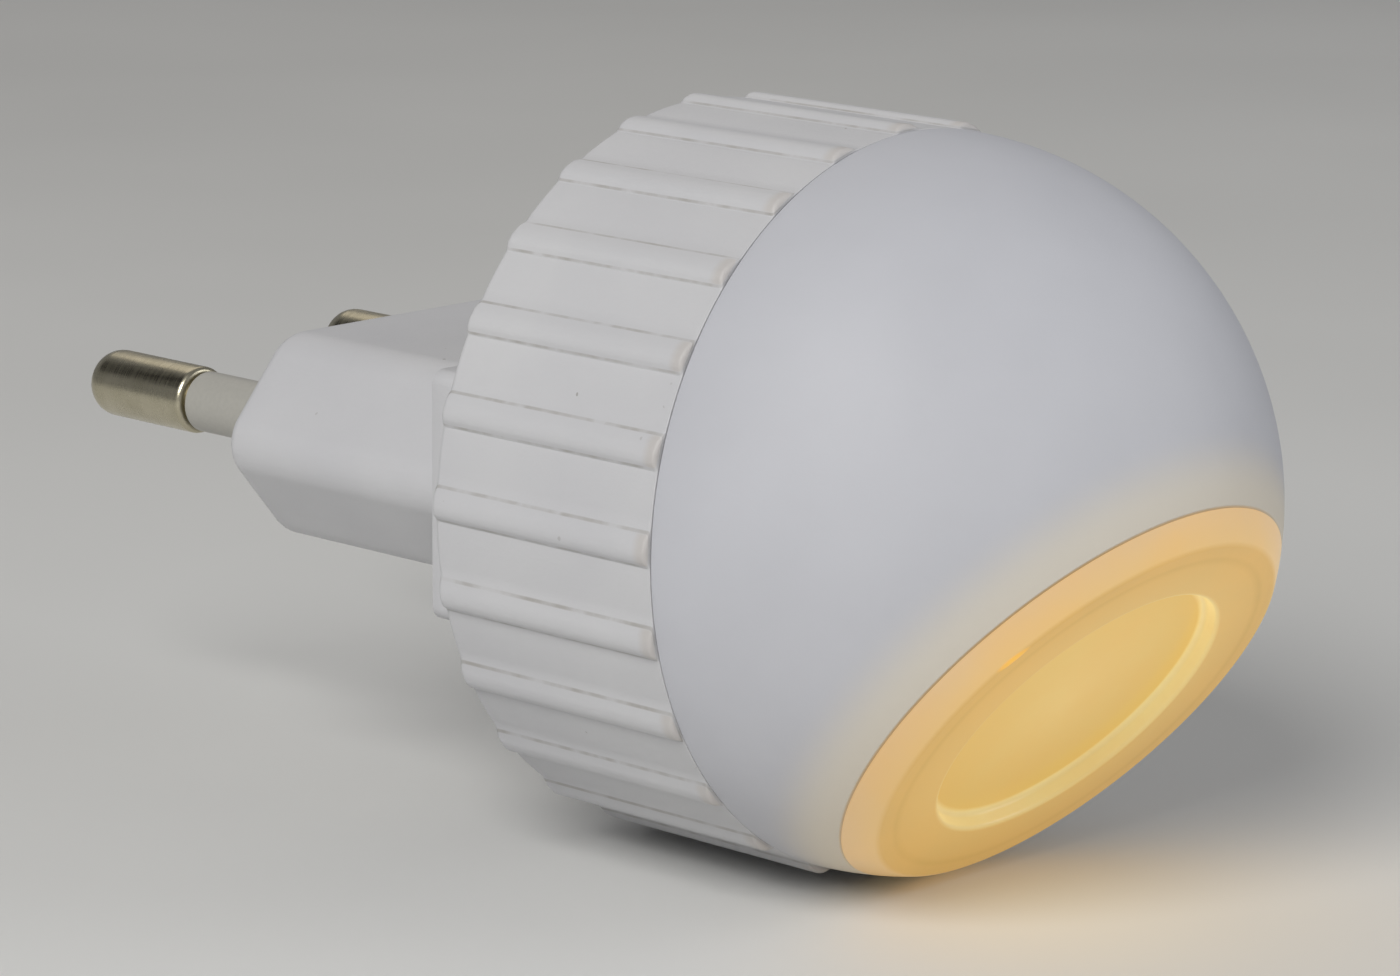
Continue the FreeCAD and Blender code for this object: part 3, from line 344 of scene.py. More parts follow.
# %% [markdown]
# ## White ABS
# Night lights are moulded in white ABS. The mould for the plug body and the grip is spark-eroded, which
# leaves a fine satin grain of a few tenths of a millimetre. The dome's mould is finer, so the dome is
# smoother and takes a soft sheen. Grain is a bump from noise, and its scale is worked out from the
# grain's real size. ABS is never one flat white: the colour drifts a little across the piece, and
# handling leaves a few dark specks.

# %% White ABS materials
ABS_IOR = 1.53
SATIN_GRAIN = 0.28 * MM
SATIN_DEPTH = 0.03 * MM
DRIFT_SIZE = 14 * MM
SPECK_SIZE = 0.55 * MM
SPECK_PATCH = 9 * MM


def abs_plastic(name, light, shade, grain_size, grain_depth, gloss, specks):
    """Moulded ABS: drifting white, moulded grain, and a few specks where they are asked for."""
    material, tree, shader, place = new_material(name, IOR=ABS_IOR)
    drift = noise(tree, place, DRIFT_SIZE, detail=3.0)
    skin = ramp(tree, drift, 0.35, 0.65, colour(shade), colour(light))
    if specks:
        dust = noise(tree, place, SPECK_SIZE, detail=0.0)
        patch = ramp(tree, noise(tree, place, SPECK_PATCH, detail=0.0), 0.5, 0.6)
        speck = ramp(tree, dust, 0.855, 0.875, grey(0), grey(0.6))
        skin = mix(tree, mix(tree, patch, grey(0), speck), skin, colour("#85807a"))
    tree.links.new(skin, shader.inputs["Base Color"])
    grain = noise(tree, place, grain_size, detail=4.0, roughness=0.6)
    tree.links.new(rescale(tree, grain, (0, 1), (gloss - 0.06, gloss + 0.08)), shader.inputs["Roughness"])
    relief(tree, shader, grain, grain_depth, 0.5)
    return material, tree, shader, place, skin


SATIN_ABS = abs_plastic("satin_white_abs", "#cbcbcd", "#c5c5c8", SATIN_GRAIN, SATIN_DEPTH, 0.52, True)[0]
print(f"satin ABS grain {SATIN_GRAIN / MM:.2f} mm")

# %% [markdown]
# The grip carries painted shade in the thin creases at the ribs' feet, broken into patches by noise, and
# a painted warm shade on the ribs' front ends. Both marks follow the shape: a band of distance from the
# axis finds the foot of every rib, and another finds the crowns close to the dome.

# %% Grip ABS with painted shade
# Size of the noise patches that break up the painted shade in the creases.
PAINTED_SHADE_PATCH_SIZE = 1.6 * MM


def band(tree, value, low, high, soft):
    """One between two limits of a value, fading to nothing outside them."""
    rise = rescale(tree, value, (low - soft, low))
    fall = rescale(tree, value, (high, high + soft), (1.0, 0.0))
    return maths(tree, "MULTIPLY", rise, fall)


def make_grip_material():
    material, tree, shader, place, skin = abs_plastic(
        "white_abs_with_painted_shade", "#c9c9cb", "#c3c3c6", SATIN_GRAIN, SATIN_DEPTH, 0.52, True)
    split = add(tree, "ShaderNodeSeparateXYZ", {0: place}).outputs
    flat = add(tree, "ShaderNodeCombineXYZ", {0: split["X"], 2: split["Z"]}).outputs[0]
    radius = vector_maths(tree, "LENGTH", flat)
    # Painted shade: the creases at the ribs' feet are darkened towards #9c9892, in noise patches.
    patches = ramp(tree, noise(tree, place, PAINTED_SHADE_PATCH_SIZE, detail=3.0), 0.35, 0.65, grey(0.1), grey(0.7))
    painted_crease_shade = band(tree, radius, HEAD_RADIUS + 0.05 * MM, HEAD_RADIUS + 0.11 * MM, 0.03 * MM)
    skin = mix(tree, mix(tree, painted_crease_shade, grey(0), patches), skin, colour("#9c9892"))
    # Painted warm shade: the ribs' crowns near their front ends are tinted a darker beige.
    crown = band(tree, radius, HEAD_RADIUS + 0.16 * MM, HEAD_RADIUS + 1 * MM, 0.05 * MM)
    end = band(tree, split["Y"], -GRIP_FRONT - 1 * MM, -GRIP_FRONT + 0.5 * MM, 0.5 * MM)
    painted_end_shade = maths(tree, "MULTIPLY", crown, end)
    skin = mix(tree, mix(tree, painted_end_shade, grey(0), grey(0.3)), skin, colour("#b5a898"))
    tree.links.new(skin, shader.inputs["Base Color"])
    return material


GRIP_ABS = make_grip_material()
print(f"painted_shade patches {PAINTED_SHADE_PATCH_SIZE / MM:.1f} mm")

# %% [markdown]
# The dome is the same plastic from a smoother mould. Near the lens's slanted opening it carries a painted
# glow: its colour warms and a faint emission is added, standing in for the lamp's light that a thin white
# wall would pass. The distance from the lens's plane drives that painted glow: it is strongest at the
# seam and gone a few millimetres up the dome.

# %% Dome ABS with a painted glow from the lens
# Reach, tint and emission of the painted glow near the lens.
PAINTED_GLOW_REACH = 3.6 * MM
PAINTED_GLOW_TINT = 0.55
PAINTED_GLOW_EMISSION = 0.11


def from_ball_centre(tree, place):
    """The vector from the ball's centre, and its height along the lens's axis."""
    outward = vector_maths(tree, "SUBTRACT", place, tuple(CENTRE))
    return outward, vector_maths(tree, "DOT_PRODUCT", outward, tuple(LENS_LOOK))


def make_dome_material():
    material, tree, shader, place, skin = abs_plastic(
        "smooth_white_abs", "#c1c2c8", "#bbbcc2", 0.22 * MM, 0.012 * MM, 0.58, False)
    height = from_ball_centre(tree, place)[1]
    # Painted glow: near the lens the base colour warms towards #d2cab6 and a faint emission is added.
    painted_glow = rescale(tree, height, (LENS_SEAT - PAINTED_GLOW_REACH, LENS_SEAT), (0.0, PAINTED_GLOW_TINT), "SMOOTHERSTEP")
    tree.links.new(mix(tree, painted_glow, skin, colour("#d2cab6")), shader.inputs["Base Color"])
    tree.links.new(maths(tree, "MULTIPLY", painted_glow, PAINTED_GLOW_EMISSION), shader.inputs["Emission Strength"])
    shader.inputs["Emission Color"].default_value = colour("#ffdf9c")
    return material


DOME_ABS = make_dome_material()
print("dome blush reaches", round(PAINTED_GLOW_REACH / MM, 1), "mm from the seam")

# %% [markdown]
# ## Frosted amber acrylic
# The lens is a thick opal moulding over amber LEDs. It scatters the light, so it glows evenly rather
# than showing the chips: palest on the recess, golden on the flat ring, peach on the shoulder. Those
# tones follow the distance from the lens's own axis. The pale ring on the recess wall is painted light,
# and a darker line near the outer edge of the flat ring is painted shade. The side that faces the floor
# is darkened by painted shade, and at one place on the rim a short orange painted highlight is added. A
# thin polished coat carries the highlights.

# %% Lens material
LENS_GLOW = 0.66
# The pale stops at 0.612 and 0.630 are painted light on the recess wall, and the darker stop at 0.82 is a
# painted shade line.
LENS_GLOW_AND_PAINTED_LIGHT = [
    (0.0, "#ecca7c"), (0.59, "#e0bb66"), (0.612, "#f0dc9c"), (0.630, "#ecd591"), (0.645, "#dbb568"),
    (0.79, "#d6ae60"), (0.82, "#cda556"), (0.84, "#d3aa5c"), (0.885, "#d1a85c"), (0.905, "#dcb87c"),
    (1.0, "#d6b486"),
]
# Place, direction and size of the painted highlight on the rim.
PAINTED_HIGHLIGHT_PLACE = Vector((-10.83, -54.06, -3.92)) * MM
PAINTED_HIGHLIGHT_ALONG = Vector((1.04, -0.90, 1.03)).normalized()
PAINTED_HIGHLIGHT_LENGTH = 1.3 * MM
PAINTED_HIGHLIGHT_WIDTH = 0.28 * MM


def painted_highlight(tree, place):
    """A painted highlight's mask: strongest at its middle, falling off as an ellipse along the rim."""
    off = vector_maths(tree, "SUBTRACT", place, tuple(PAINTED_HIGHLIGHT_PLACE))
    along = vector_maths(tree, "DOT_PRODUCT", off, tuple(PAINTED_HIGHLIGHT_ALONG))
    aside = vector_maths(tree, "DISTANCE", off, scaled(tree, tuple(PAINTED_HIGHLIGHT_ALONG), along))
    squares = []
    for distance, reach in ((along, PAINTED_HIGHLIGHT_LENGTH), (aside, PAINTED_HIGHLIGHT_WIDTH)):
        part = maths(tree, "DIVIDE", distance, reach)
        squares.append(maths(tree, "MULTIPLY", part, part))
    return rescale(tree, maths(tree, "ADD", *squares), (0.0, 1.0), (0.9, 0.0), "SMOOTHSTEP")


def lens_glow_with_painted_shading(tree, place):
    """The amber at each place: by the distance from the lens's axis, cloudy, with painted light and shade
    in its rings, and painted shade low down.
    """
    outward, height = from_ball_centre(tree, place)
    across = vector_maths(tree, "SUBTRACT", outward, scaled(tree, tuple(LENS_LOOK), height))
    reach = maths(tree, "DIVIDE", vector_maths(tree, "LENGTH", across), OPENING_RADIUS)
    tones = add(tree, "ShaderNodeValToRGB", {"Fac": reach})
    stops = tones.color_ramp.elements
    while len(stops) < len(LENS_GLOW_AND_PAINTED_LIGHT):
        stops.new(0.5)
    for stop, (position, code) in zip(stops, LENS_GLOW_AND_PAINTED_LIGHT):
        stop.position = position
        stop.color = colour(code)
    cloud = ramp(tree, noise(tree, place, 5 * MM, detail=3.0), 0.35, 0.7, grey(0), grey(0.25))
    tone = mix(tree, cloud, tones.outputs["Color"], colour("#e9b45c"))
    # Painted shade: the side that faces the floor is darkened towards #9a7638.
    uphill = vector_maths(tree, "DOT_PRODUCT", outward, tuple(LENS_UPHILL))
    return mix(tree, rescale(tree, uphill, (-14 * MM, 6 * MM), (0.3, 0.0)), tone, colour("#9a7638"))


def make_lens_material():
    material, tree, shader, place = new_material(
        "frosted_amber_acrylic", IOR=1.49, Roughness=0.38, Coat_Weight=0.3, Coat_Roughness=0.12,
        Emission_Strength=LENS_GLOW)
    # A short orange painted highlight on the rim, in both base colour and emission.
    tone = mix(tree, painted_highlight(tree, place), lens_glow_with_painted_shading(tree, place), colour("#ffc04a"))
    tree.links.new(mix(tree, 0.5, tone, grey(0)), shader.inputs["Base Color"])
    tree.links.new(tone, shader.inputs["Emission Color"])
    relief(tree, shader, noise(tree, place, 0.3 * MM), 0.006 * MM, 0.4)
    return material


LENS_ACRYLIC = make_lens_material()
print("lens glows at", LENS_GLOW)

# %% [markdown]
# ## Nickel-plated brass
# The pins are turned brass with a thin nickel plate, which is warmer and duller than chrome. Turning
# leaves rings round the pin, about a tenth of a millimetre apart, and plugging in leaves fine scratches
# along it. Both change the roughness more than the colour.

# %% Pin metal and screw steel


def turned_metal(name, light, shade, ring_size, roughness):
    """Plated or bright metal with turning rings along Y and faint lengthways wear."""
    material, tree, shader, place = new_material(name, Metallic=1.0)
    rings = add(tree, "ShaderNodeMapping", {"Vector": place, "Scale": (0.02, 1.0, 0.02)}).outputs[0]
    lengthways = add(tree, "ShaderNodeMapping", {"Vector": place, "Scale": (1.0, 0.06, 1.0)}).outputs[0]
    wear = noise(tree, lengthways, 0.35 * MM, detail=4.0, roughness=0.65)
    marks = maths(tree, "MULTIPLY", noise(tree, rings, ring_size, detail=3.0), wear)
    patina = noise(tree, place, 2.5 * MM, detail=4.0)
    tint = ramp(tree, patina, 0.3, 0.7, colour(shade), colour(light))
    tree.links.new(tint, shader.inputs["Base Color"])
    gloss = rescale(tree, marks, (0.0, 0.5), (roughness - 0.1, roughness + 0.16))
    tree.links.new(gloss, shader.inputs["Roughness"])
    relief(tree, shader, marks, 0.01 * MM, 0.35)
    return material


NICKEL = turned_metal("nickel_plated_brass", "#cfc8b2", "#b9b29a", 0.12 * MM, 0.26)
STEEL = turned_metal("zinc_plated_steel", "#b4b6ba", "#94979c", 0.1 * MM, 0.36)
SPRING_STEEL = turned_metal("bright_spring_steel", "#9a9ca0", "#7f8186", 0.1 * MM, 0.3)
print("metals:", NICKEL.name, STEEL.name, SPRING_STEEL.name)

# %% [markdown]
# ## The small plastics and the boards
# Sleeves, leads, laminate and component bodies only differ in colour, gloss and grain, so one short
# function makes them all. None of the inner ones shows while the lamp is closed, but a cut-away or a
# close-up of a single piece would show them, and a plain colour there would look unfinished.

# %% Plain mouldings


def moulding(name, light, shade, grain, gloss):
    """A moulded or lacquered surface: two close tones in a grain, with a little relief."""
    material, tree, shader, place = new_material(name, Roughness=gloss, IOR=1.5)
    speckle = noise(tree, place, grain, detail=3.0)
    tint = ramp(tree, speckle, 0.35, 0.65, colour(shade), colour(light))
    tree.links.new(tint, shader.inputs["Base Color"])
    relief(tree, shader, speckle, 0.005 * MM, 0.3)
    return material


SLEEVE = moulding("pale_grey_polyamide", "#b0aea7", "#acaaa3", 0.25 * MM, 0.45)
INNER_FINISHES = {
    "pin_clamp": moulding("ivory_polyamide", "#c6c3b6", "#b9b6a9", 0.6 * MM, 0.5),
    "live_lead": moulding("brown_pvc", "#5d3a22", "#4d2f1a", 0.4 * MM, 0.4),
    "neutral_lead": moulding("blue_pvc", "#2f5ba8", "#274d91", 0.4 * MM, 0.4),
    "led_lead_plus": moulding("red_pvc", "#b02a22", "#99241d", 0.4 * MM, 0.4),
    "led_lead_minus": moulding("black_pvc", "#2a2a2c", "#1f1f21", 0.4 * MM, 0.4),
    "driver_board": moulding("green_laminate", "#2f6b3c", "#285c33", 0.7 * MM, 0.35),
    "led_board": moulding("white_solder_mask", "#e2e2de", "#d8d8d4", 0.7 * MM, 0.35),
    "film_capacitor": moulding("yellow_capacitor_box", "#d8b23a", "#caa431", 0.5 * MM, 0.4),
    "smoothing_capacitor": moulding("black_shrink_sleeve", "#26272b", "#1d1e21", 0.5 * MM, 0.3),
    "bridge_rectifier": moulding("black_epoxy", "#2b2b2b", "#202020", 0.25 * MM, 0.6),
    "fuse_resistor": moulding("green_resistor_lacquer", "#7f9470", "#728763", 0.3 * MM, 0.5),
    "bleed_resistor": moulding("beige_resistor_lacquer", "#c9b78f", "#bba981", 0.3 * MM, 0.5),
    "led_chips": moulding("led_phosphor_gel", "#e8c25a", "#ddb44b", 0.5 * MM, 0.25),
    "reflector": moulding("bright_white_polycarbonate", "#ecebe6", "#e2e1dc", 0.4 * MM, 0.3),
}
print("inner finishes:", len(INNER_FINISHES))

# %% [markdown]
# ## Shapes from rings
# Almost every piece here is round, so its skin can be written as a row of rings joined by quads. A ring
# is a circle about some axis, and a whole piece is a list of them. A turned outline is first drawn as
# corner points with a radius at each, so that every edge gets the small round that catches light on a
# real moulding.

# %% Rings, outlines and meshes
MERGE_DISTANCE = 0.0005 * MM


def rounded(corners, steps=5):
    """Points of an outline whose corners (x, y, radius) are rounded by arcs. Both ends stay put."""
    points = [np.array(corners[0][:2])]
    for before, here, after in zip(corners, corners[1:], corners[2:]):
        corner, radius = np.array(here[:2]), here[2]
        if radius == 0:
            points.append(corner)
            continue
        towards_before = np.array(before[:2]) - corner
        towards_after = np.array(after[:2]) - corner
        towards_before /= np.linalg.norm(towards_before)
        towards_after /= np.linalg.norm(towards_after)
        half = math.acos(max(-1, min(1, float(towards_before @ towards_after)))) / 2
        setback = radius / math.tan(half)
        middle = towards_before + towards_after
        centre = corner + middle / np.linalg.norm(middle) * radius / math.sin(half)
        start = corner + towards_before * setback - centre
        finish = corner + towards_after * setback - centre
        swing = math.pi - 2 * half
        for step in range(steps + 1):
            share = step / steps
            blend = start * math.sin((1 - share) * swing) + finish * math.sin(share * swing)
            points.append(centre + blend / math.sin(swing))
    points.append(np.array(corners[-1][:2]))
    return points


def ring(look, along, radius, turns, centre=CENTRE):
    """Points round an axis: look is the axis, along the distance from the centre, turns the angles."""
    side = np.array((1.0, 0.0, 0.0))
    up = np.array((0.0, look.z, -look.y))
    middle = np.array(centre) + np.array(look) * along
    return middle + radius * (np.outer(np.cos(turns), side) + np.outer(np.sin(turns), up))


def even_turns(count):
    return np.arange(count) * 2 * math.pi / count


def skin_of_rings(name, rings, closed=False, caps=()):
    """Quads between rings of equally many points. caps may name "start" and "end"."""
    count = len(rings[0])
    vertices = np.vstack(rings)
    rows = len(rings)
    faces = []
    for row in range(rows if closed else rows - 1):
        here, beyond = row * count, (row + 1) % rows * count
        for step in range(count):
            onward = (step + 1) % count
            faces.append((here + step, here + onward, beyond + onward, beyond + step))
    if "start" in caps:
        faces.append(tuple(range(count))[::-1])
    if "end" in caps:
        faces.append(tuple(range((rows - 1) * count, rows * count)))
    mesh = bpy.data.meshes.new(name)
    mesh.from_pydata([tuple(point) for point in vertices], [], faces)
    obj = bpy.data.objects.new(name, mesh)
    bpy.context.collection.objects.link(obj)
    return obj


def finish_mesh(obj, sharp_degrees=32):
    """Turn the faces outwards, shade them smooth and keep real edges sharp."""
    work = bmesh.new()
    work.from_mesh(obj.data)
    bmesh.ops.remove_doubles(work, verts=work.verts, dist=MERGE_DISTANCE)
    bmesh.ops.recalc_face_normals(work, faces=work.faces)
    for face in work.faces:
        face.smooth = True
    work.to_mesh(obj.data)
    work.free()
    obj.data.set_sharp_from_angle(angle=math.radians(sharp_degrees))


def bake_modifiers(obj):
    """Replace an object's mesh by its evaluated one and drop the modifiers."""
    evaluated = obj.evaluated_get(bpy.context.evaluated_depsgraph_get())
    mesh = bpy.data.meshes.new_from_object(evaluated)
    obj.modifiers.clear()
    obj.data = mesh


def dress(obj, body, nodes, material, sharp_degrees=32):
    """The last step of each piece: shading, material, its body, and the node it stands for."""
    finish_mesh(obj, sharp_degrees)
    obj.data.materials.clear()
    obj.data.materials.append(material)
    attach(obj, body)
    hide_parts(*nodes)
    print(f"{obj.name}: {len(obj.data.polygons)} faces")


print("a rounded corner takes", len(rounded([(0.0, 0.0, 0), (1.0, 0.0, 0.2), (1.0, 1.0, 0)])) - 2, "points")

# %% [markdown]
# ## The dome
# The dome is a ball cut by two planes that aren't parallel: the flat back, and the slanted opening for
# the lens. Cutting a ball with booleans leaves ragged faces at both cuts. Instead every ring lies in a
# plane of its own, and the planes swing step by step from the back plane to the slanted one. All of
# them pass through one line outside the ball, so the rings never cross, every point lies exactly on the
# ball, and both cuts are clean circles.

# %% Dome
DOME_WALL = 1.8 * MM
DOME_SEGMENTS = 240
DOME_RINGS = 110
SPIGOT_RADIUS = 18.4 * MM
SPIGOT_BORE = 17.3 * MM
SPIGOT_LENGTH = 3.65 * MM
COLLAR_WALL = 1.4 * MM
LEDGE_WIDTH = 1.6 * MM
LED_BOARD_BACK = LENS_SEAT - 6.7 * MM
LEDGE_BACK = LENS_SEAT - 7.9 * MM


def on_ball(height, radius=HEAD_RADIUS):
    """Radius of the circle that a plane at a height cuts from a ball."""
    return math.sqrt(radius ** 2 - height ** 2)


def swinging_rings(radius, back_offset, lens_offset, count, turns):
    """Rings on a ball, from the plane across -Y to the plane across the lens's axis."""
    rings = []
    for step in range(count + 1):
        share = step / count
        normal = FORWARD * (1 - share) + LENS_LOOK * share
        offset = (back_offset * (1 - share) + lens_offset * share) / normal.length
        normal.normalize()
        rings.append(ring(normal, offset, on_ball(offset, radius), turns))
    return rings


def lathe(look, outline, turns, centre=CENTRE):
    """Rings from an outline of (radius, distance along the axis) points."""
    return [ring(look, along, radius, turns, centre) for radius, along in outline]


def make_dome():
    turns = even_turns(DOME_SEGMENTS)
    edge, fine = 0.6 * MM, 0.05 * MM
    inner = HEAD_RADIUS - DOME_WALL
    back = DOME_BACK - DOME_CENTRE
    step = back + 0.95 * MM
    spigot_end = back - SPIGOT_LENGTH
    collar = COLLAR_BORE + COLLAR_WALL
    collar_end = on_ball(collar, inner)
    window = COLLAR_BORE - LEDGE_WIDTH
    rings = lathe(FORWARD, rounded([
        (SPIGOT_RADIUS, back, 0), (on_ball(back), back, fine), (on_ball(back + edge), back + edge, 0),
    ]), turns)
    rings += swinging_rings(HEAD_RADIUS, back + edge, LENS_SEAT - edge, DOME_RINGS, turns)[1:-1]
    rings += lathe(LENS_LOOK, rounded([
        (on_ball(LENS_SEAT - edge), LENS_SEAT - edge, 0), (OPENING_RADIUS, LENS_SEAT, 0.12 * MM),
        (COLLAR_BORE, LENS_SEAT, fine), (COLLAR_BORE, LED_BOARD_BACK, 0), (window, LED_BOARD_BACK, 0),
        (window, LEDGE_BACK, 0), (collar, LEDGE_BACK, fine), (collar, collar_end, 0),
    ]), turns)
    rings += swinging_rings(inner, step, collar_end, DOME_RINGS // 3, turns)[::-1][1:]
    rings += lathe(FORWARD, rounded([
        (on_ball(step, inner), step, 0), (SPIGOT_BORE, step, 0), (SPIGOT_BORE, spigot_end, fine),
        (SPIGOT_RADIUS, spigot_end, fine), (SPIGOT_RADIUS, back, 0),
    ]), turns)[1:-1]
    obj = skin_of_rings("dome", rings, closed=True)
    dress(obj, "head", ["dome_shell"], DOME_ABS)


make_dome()

# %% [markdown]
# ## The lens
# The lens is turned about its own slanted axis: it carries the dome's round on over a narrow shoulder,
# rolls over to a flat face, and drops into a shallow recess. The shoulder is part of the ball, so its
# points are worked out from the ball's radius rather than drawn. A thin gap at its foot draws the dark
# line between dome and lens.

# %% Lens cap
LENS_LINE = 0.1 * MM
SKIRT_WALL = 1.1 * MM
SKIRT_LENGTH = 2.0 * MM
UNDERSIDE = LENS_SEAT - 0.8 * MM
EDGE_ROUND = 0.6 * MM
MOUTH_ROUND = 0.25 * MM
FLOOR_ROUND = 0.3 * MM
POLE = 0.02 * MM


def make_lens():
    turns = even_turns(DOME_SEGMENTS)
    foot = LENS_SEAT + LENS_LINE
    roll_start = LENS_FACE - EDGE_ROUND * 0.75
    floor = LENS_FACE - RECESS_DEPTH
    skirt = COLLAR_BORE - 0.1 * MM
    skirt_end = LENS_SEAT - SKIRT_LENGTH
    outline = [(POLE, UNDERSIDE), (skirt - SKIRT_WALL, UNDERSIDE), (skirt - SKIRT_WALL, skirt_end),
               (skirt, skirt_end), (skirt, foot), (on_ball(foot), foot)]
    outline += [(on_ball(along), along) for along in np.linspace(foot + 0.1 * MM, roll_start, 9)[:-1]]
    outline += rounded([(on_ball(roll_start), roll_start, 0), (FACE_RADIUS, LENS_FACE, EDGE_ROUND),
                        (RECESS_RADIUS, LENS_FACE, MOUTH_ROUND), (RECESS_RADIUS, floor, FLOOR_ROUND),
                        (POLE, floor, 0)], steps=8)
    obj = skin_of_rings("lens", lathe(LENS_LOOK, outline, turns), caps=("start", "end"))
    dress(obj, "head", ["lens_cap"], LENS_ACRYLIC)


make_lens()

# %% [markdown]
# ## The grip and its ribs
# The grip is a turned cup with twenty-five ribs moulded onto it. The ribs repeat by a rule, so Geometry
# Nodes make them: a tree reads where each point of the cup lies round the axis, measures how far that
# is from the nearest rib's middle, and lifts the point by the rib's height there. The points are laid
# out closer under the ribs, so that a rib gets a full round top and a crisp foot.

# %% Grip cup
RIB_COUNT = 25
RIB_WIDTH = 1.7 * MM
RIB_HEIGHT = 0.42 * MM
RIB_FIRST = math.radians(90 + 2.0)
RIB_REAR_END = 0.55 * MM
RIB_FRONT_END = 0.25 * MM
GRIP_EDGE = 0.4 * MM
NECK_BORE = 7.06 * MM
GRIP_WALL = 2.0 * MM
REAR_WALL = 2.2 * MM


def grip_turns():
    """Angles round the grip: close together under each rib and at its feet, wider between two ribs."""
    pitch = 2 * math.pi / RIB_COUNT
    half = RIB_WIDTH / 2 / HEAD_RADIUS
    under = half * np.sin(np.linspace(-math.pi / 2, math.pi / 2, 17))
    open_wall = np.linspace(half * 1.25, pitch - half * 1.25, 6)
    one_pitch = np.concatenate([under, [half * 1.04], open_wall, [pitch - half * 1.04]])
    return RIB_FIRST + np.concatenate([rib * pitch + one_pitch for rib in range(RIB_COUNT)])


def make_grip_cup():
    wall = -np.concatenate([
        np.linspace(GRIP_BACK + GRIP_EDGE, GRIP_BACK + RIB_REAR_END + 0.1 * MM, 5),
        np.linspace(GRIP_BACK + 1.5 * MM, GRIP_FRONT - 1.5 * MM, 12),
        np.linspace(GRIP_FRONT - RIB_FRONT_END - 0.1 * MM, GRIP_FRONT - 0.06 * MM, 6)])
    inside, front_of_wall = HEAD_RADIUS - GRIP_WALL, GRIP_BACK + REAR_WALL
    outline = rounded([
        (NECK_BORE, -GRIP_BACK, 0), (HEAD_RADIUS, -GRIP_BACK, GRIP_EDGE * 0.9), (HEAD_RADIUS, wall[0], 0),
    ])[:-1]
    outline += [(HEAD_RADIUS, along) for along in wall]
    outline += rounded([
        (HEAD_RADIUS, wall[-1], 0), (HEAD_RADIUS, -GRIP_FRONT, 0.05 * MM), (inside, -GRIP_FRONT, 0.1 * MM),
        (inside, -front_of_wall, 0.3 * MM), (NECK_BORE, -front_of_wall, 0), (NECK_BORE, -GRIP_BACK, 0),
    ])[1:-1]
    rings = lathe(PIN_AXIS, outline, grip_turns(), Vector())
    return skin_of_rings("grip", rings, closed=True)


print(f"{RIB_COUNT} ribs, {360 / RIB_COUNT:.1f} degrees apart, {len(grip_turns())} points round the grip")

# %% [markdown]
# The tree works on each point's own angle. WRAP folds that angle into one pitch, so all the ribs are
# made by one formula: a half ellipse across, and a quarter round at each end. Only points on the
# outside wall are lifted.

# %% Rib tree


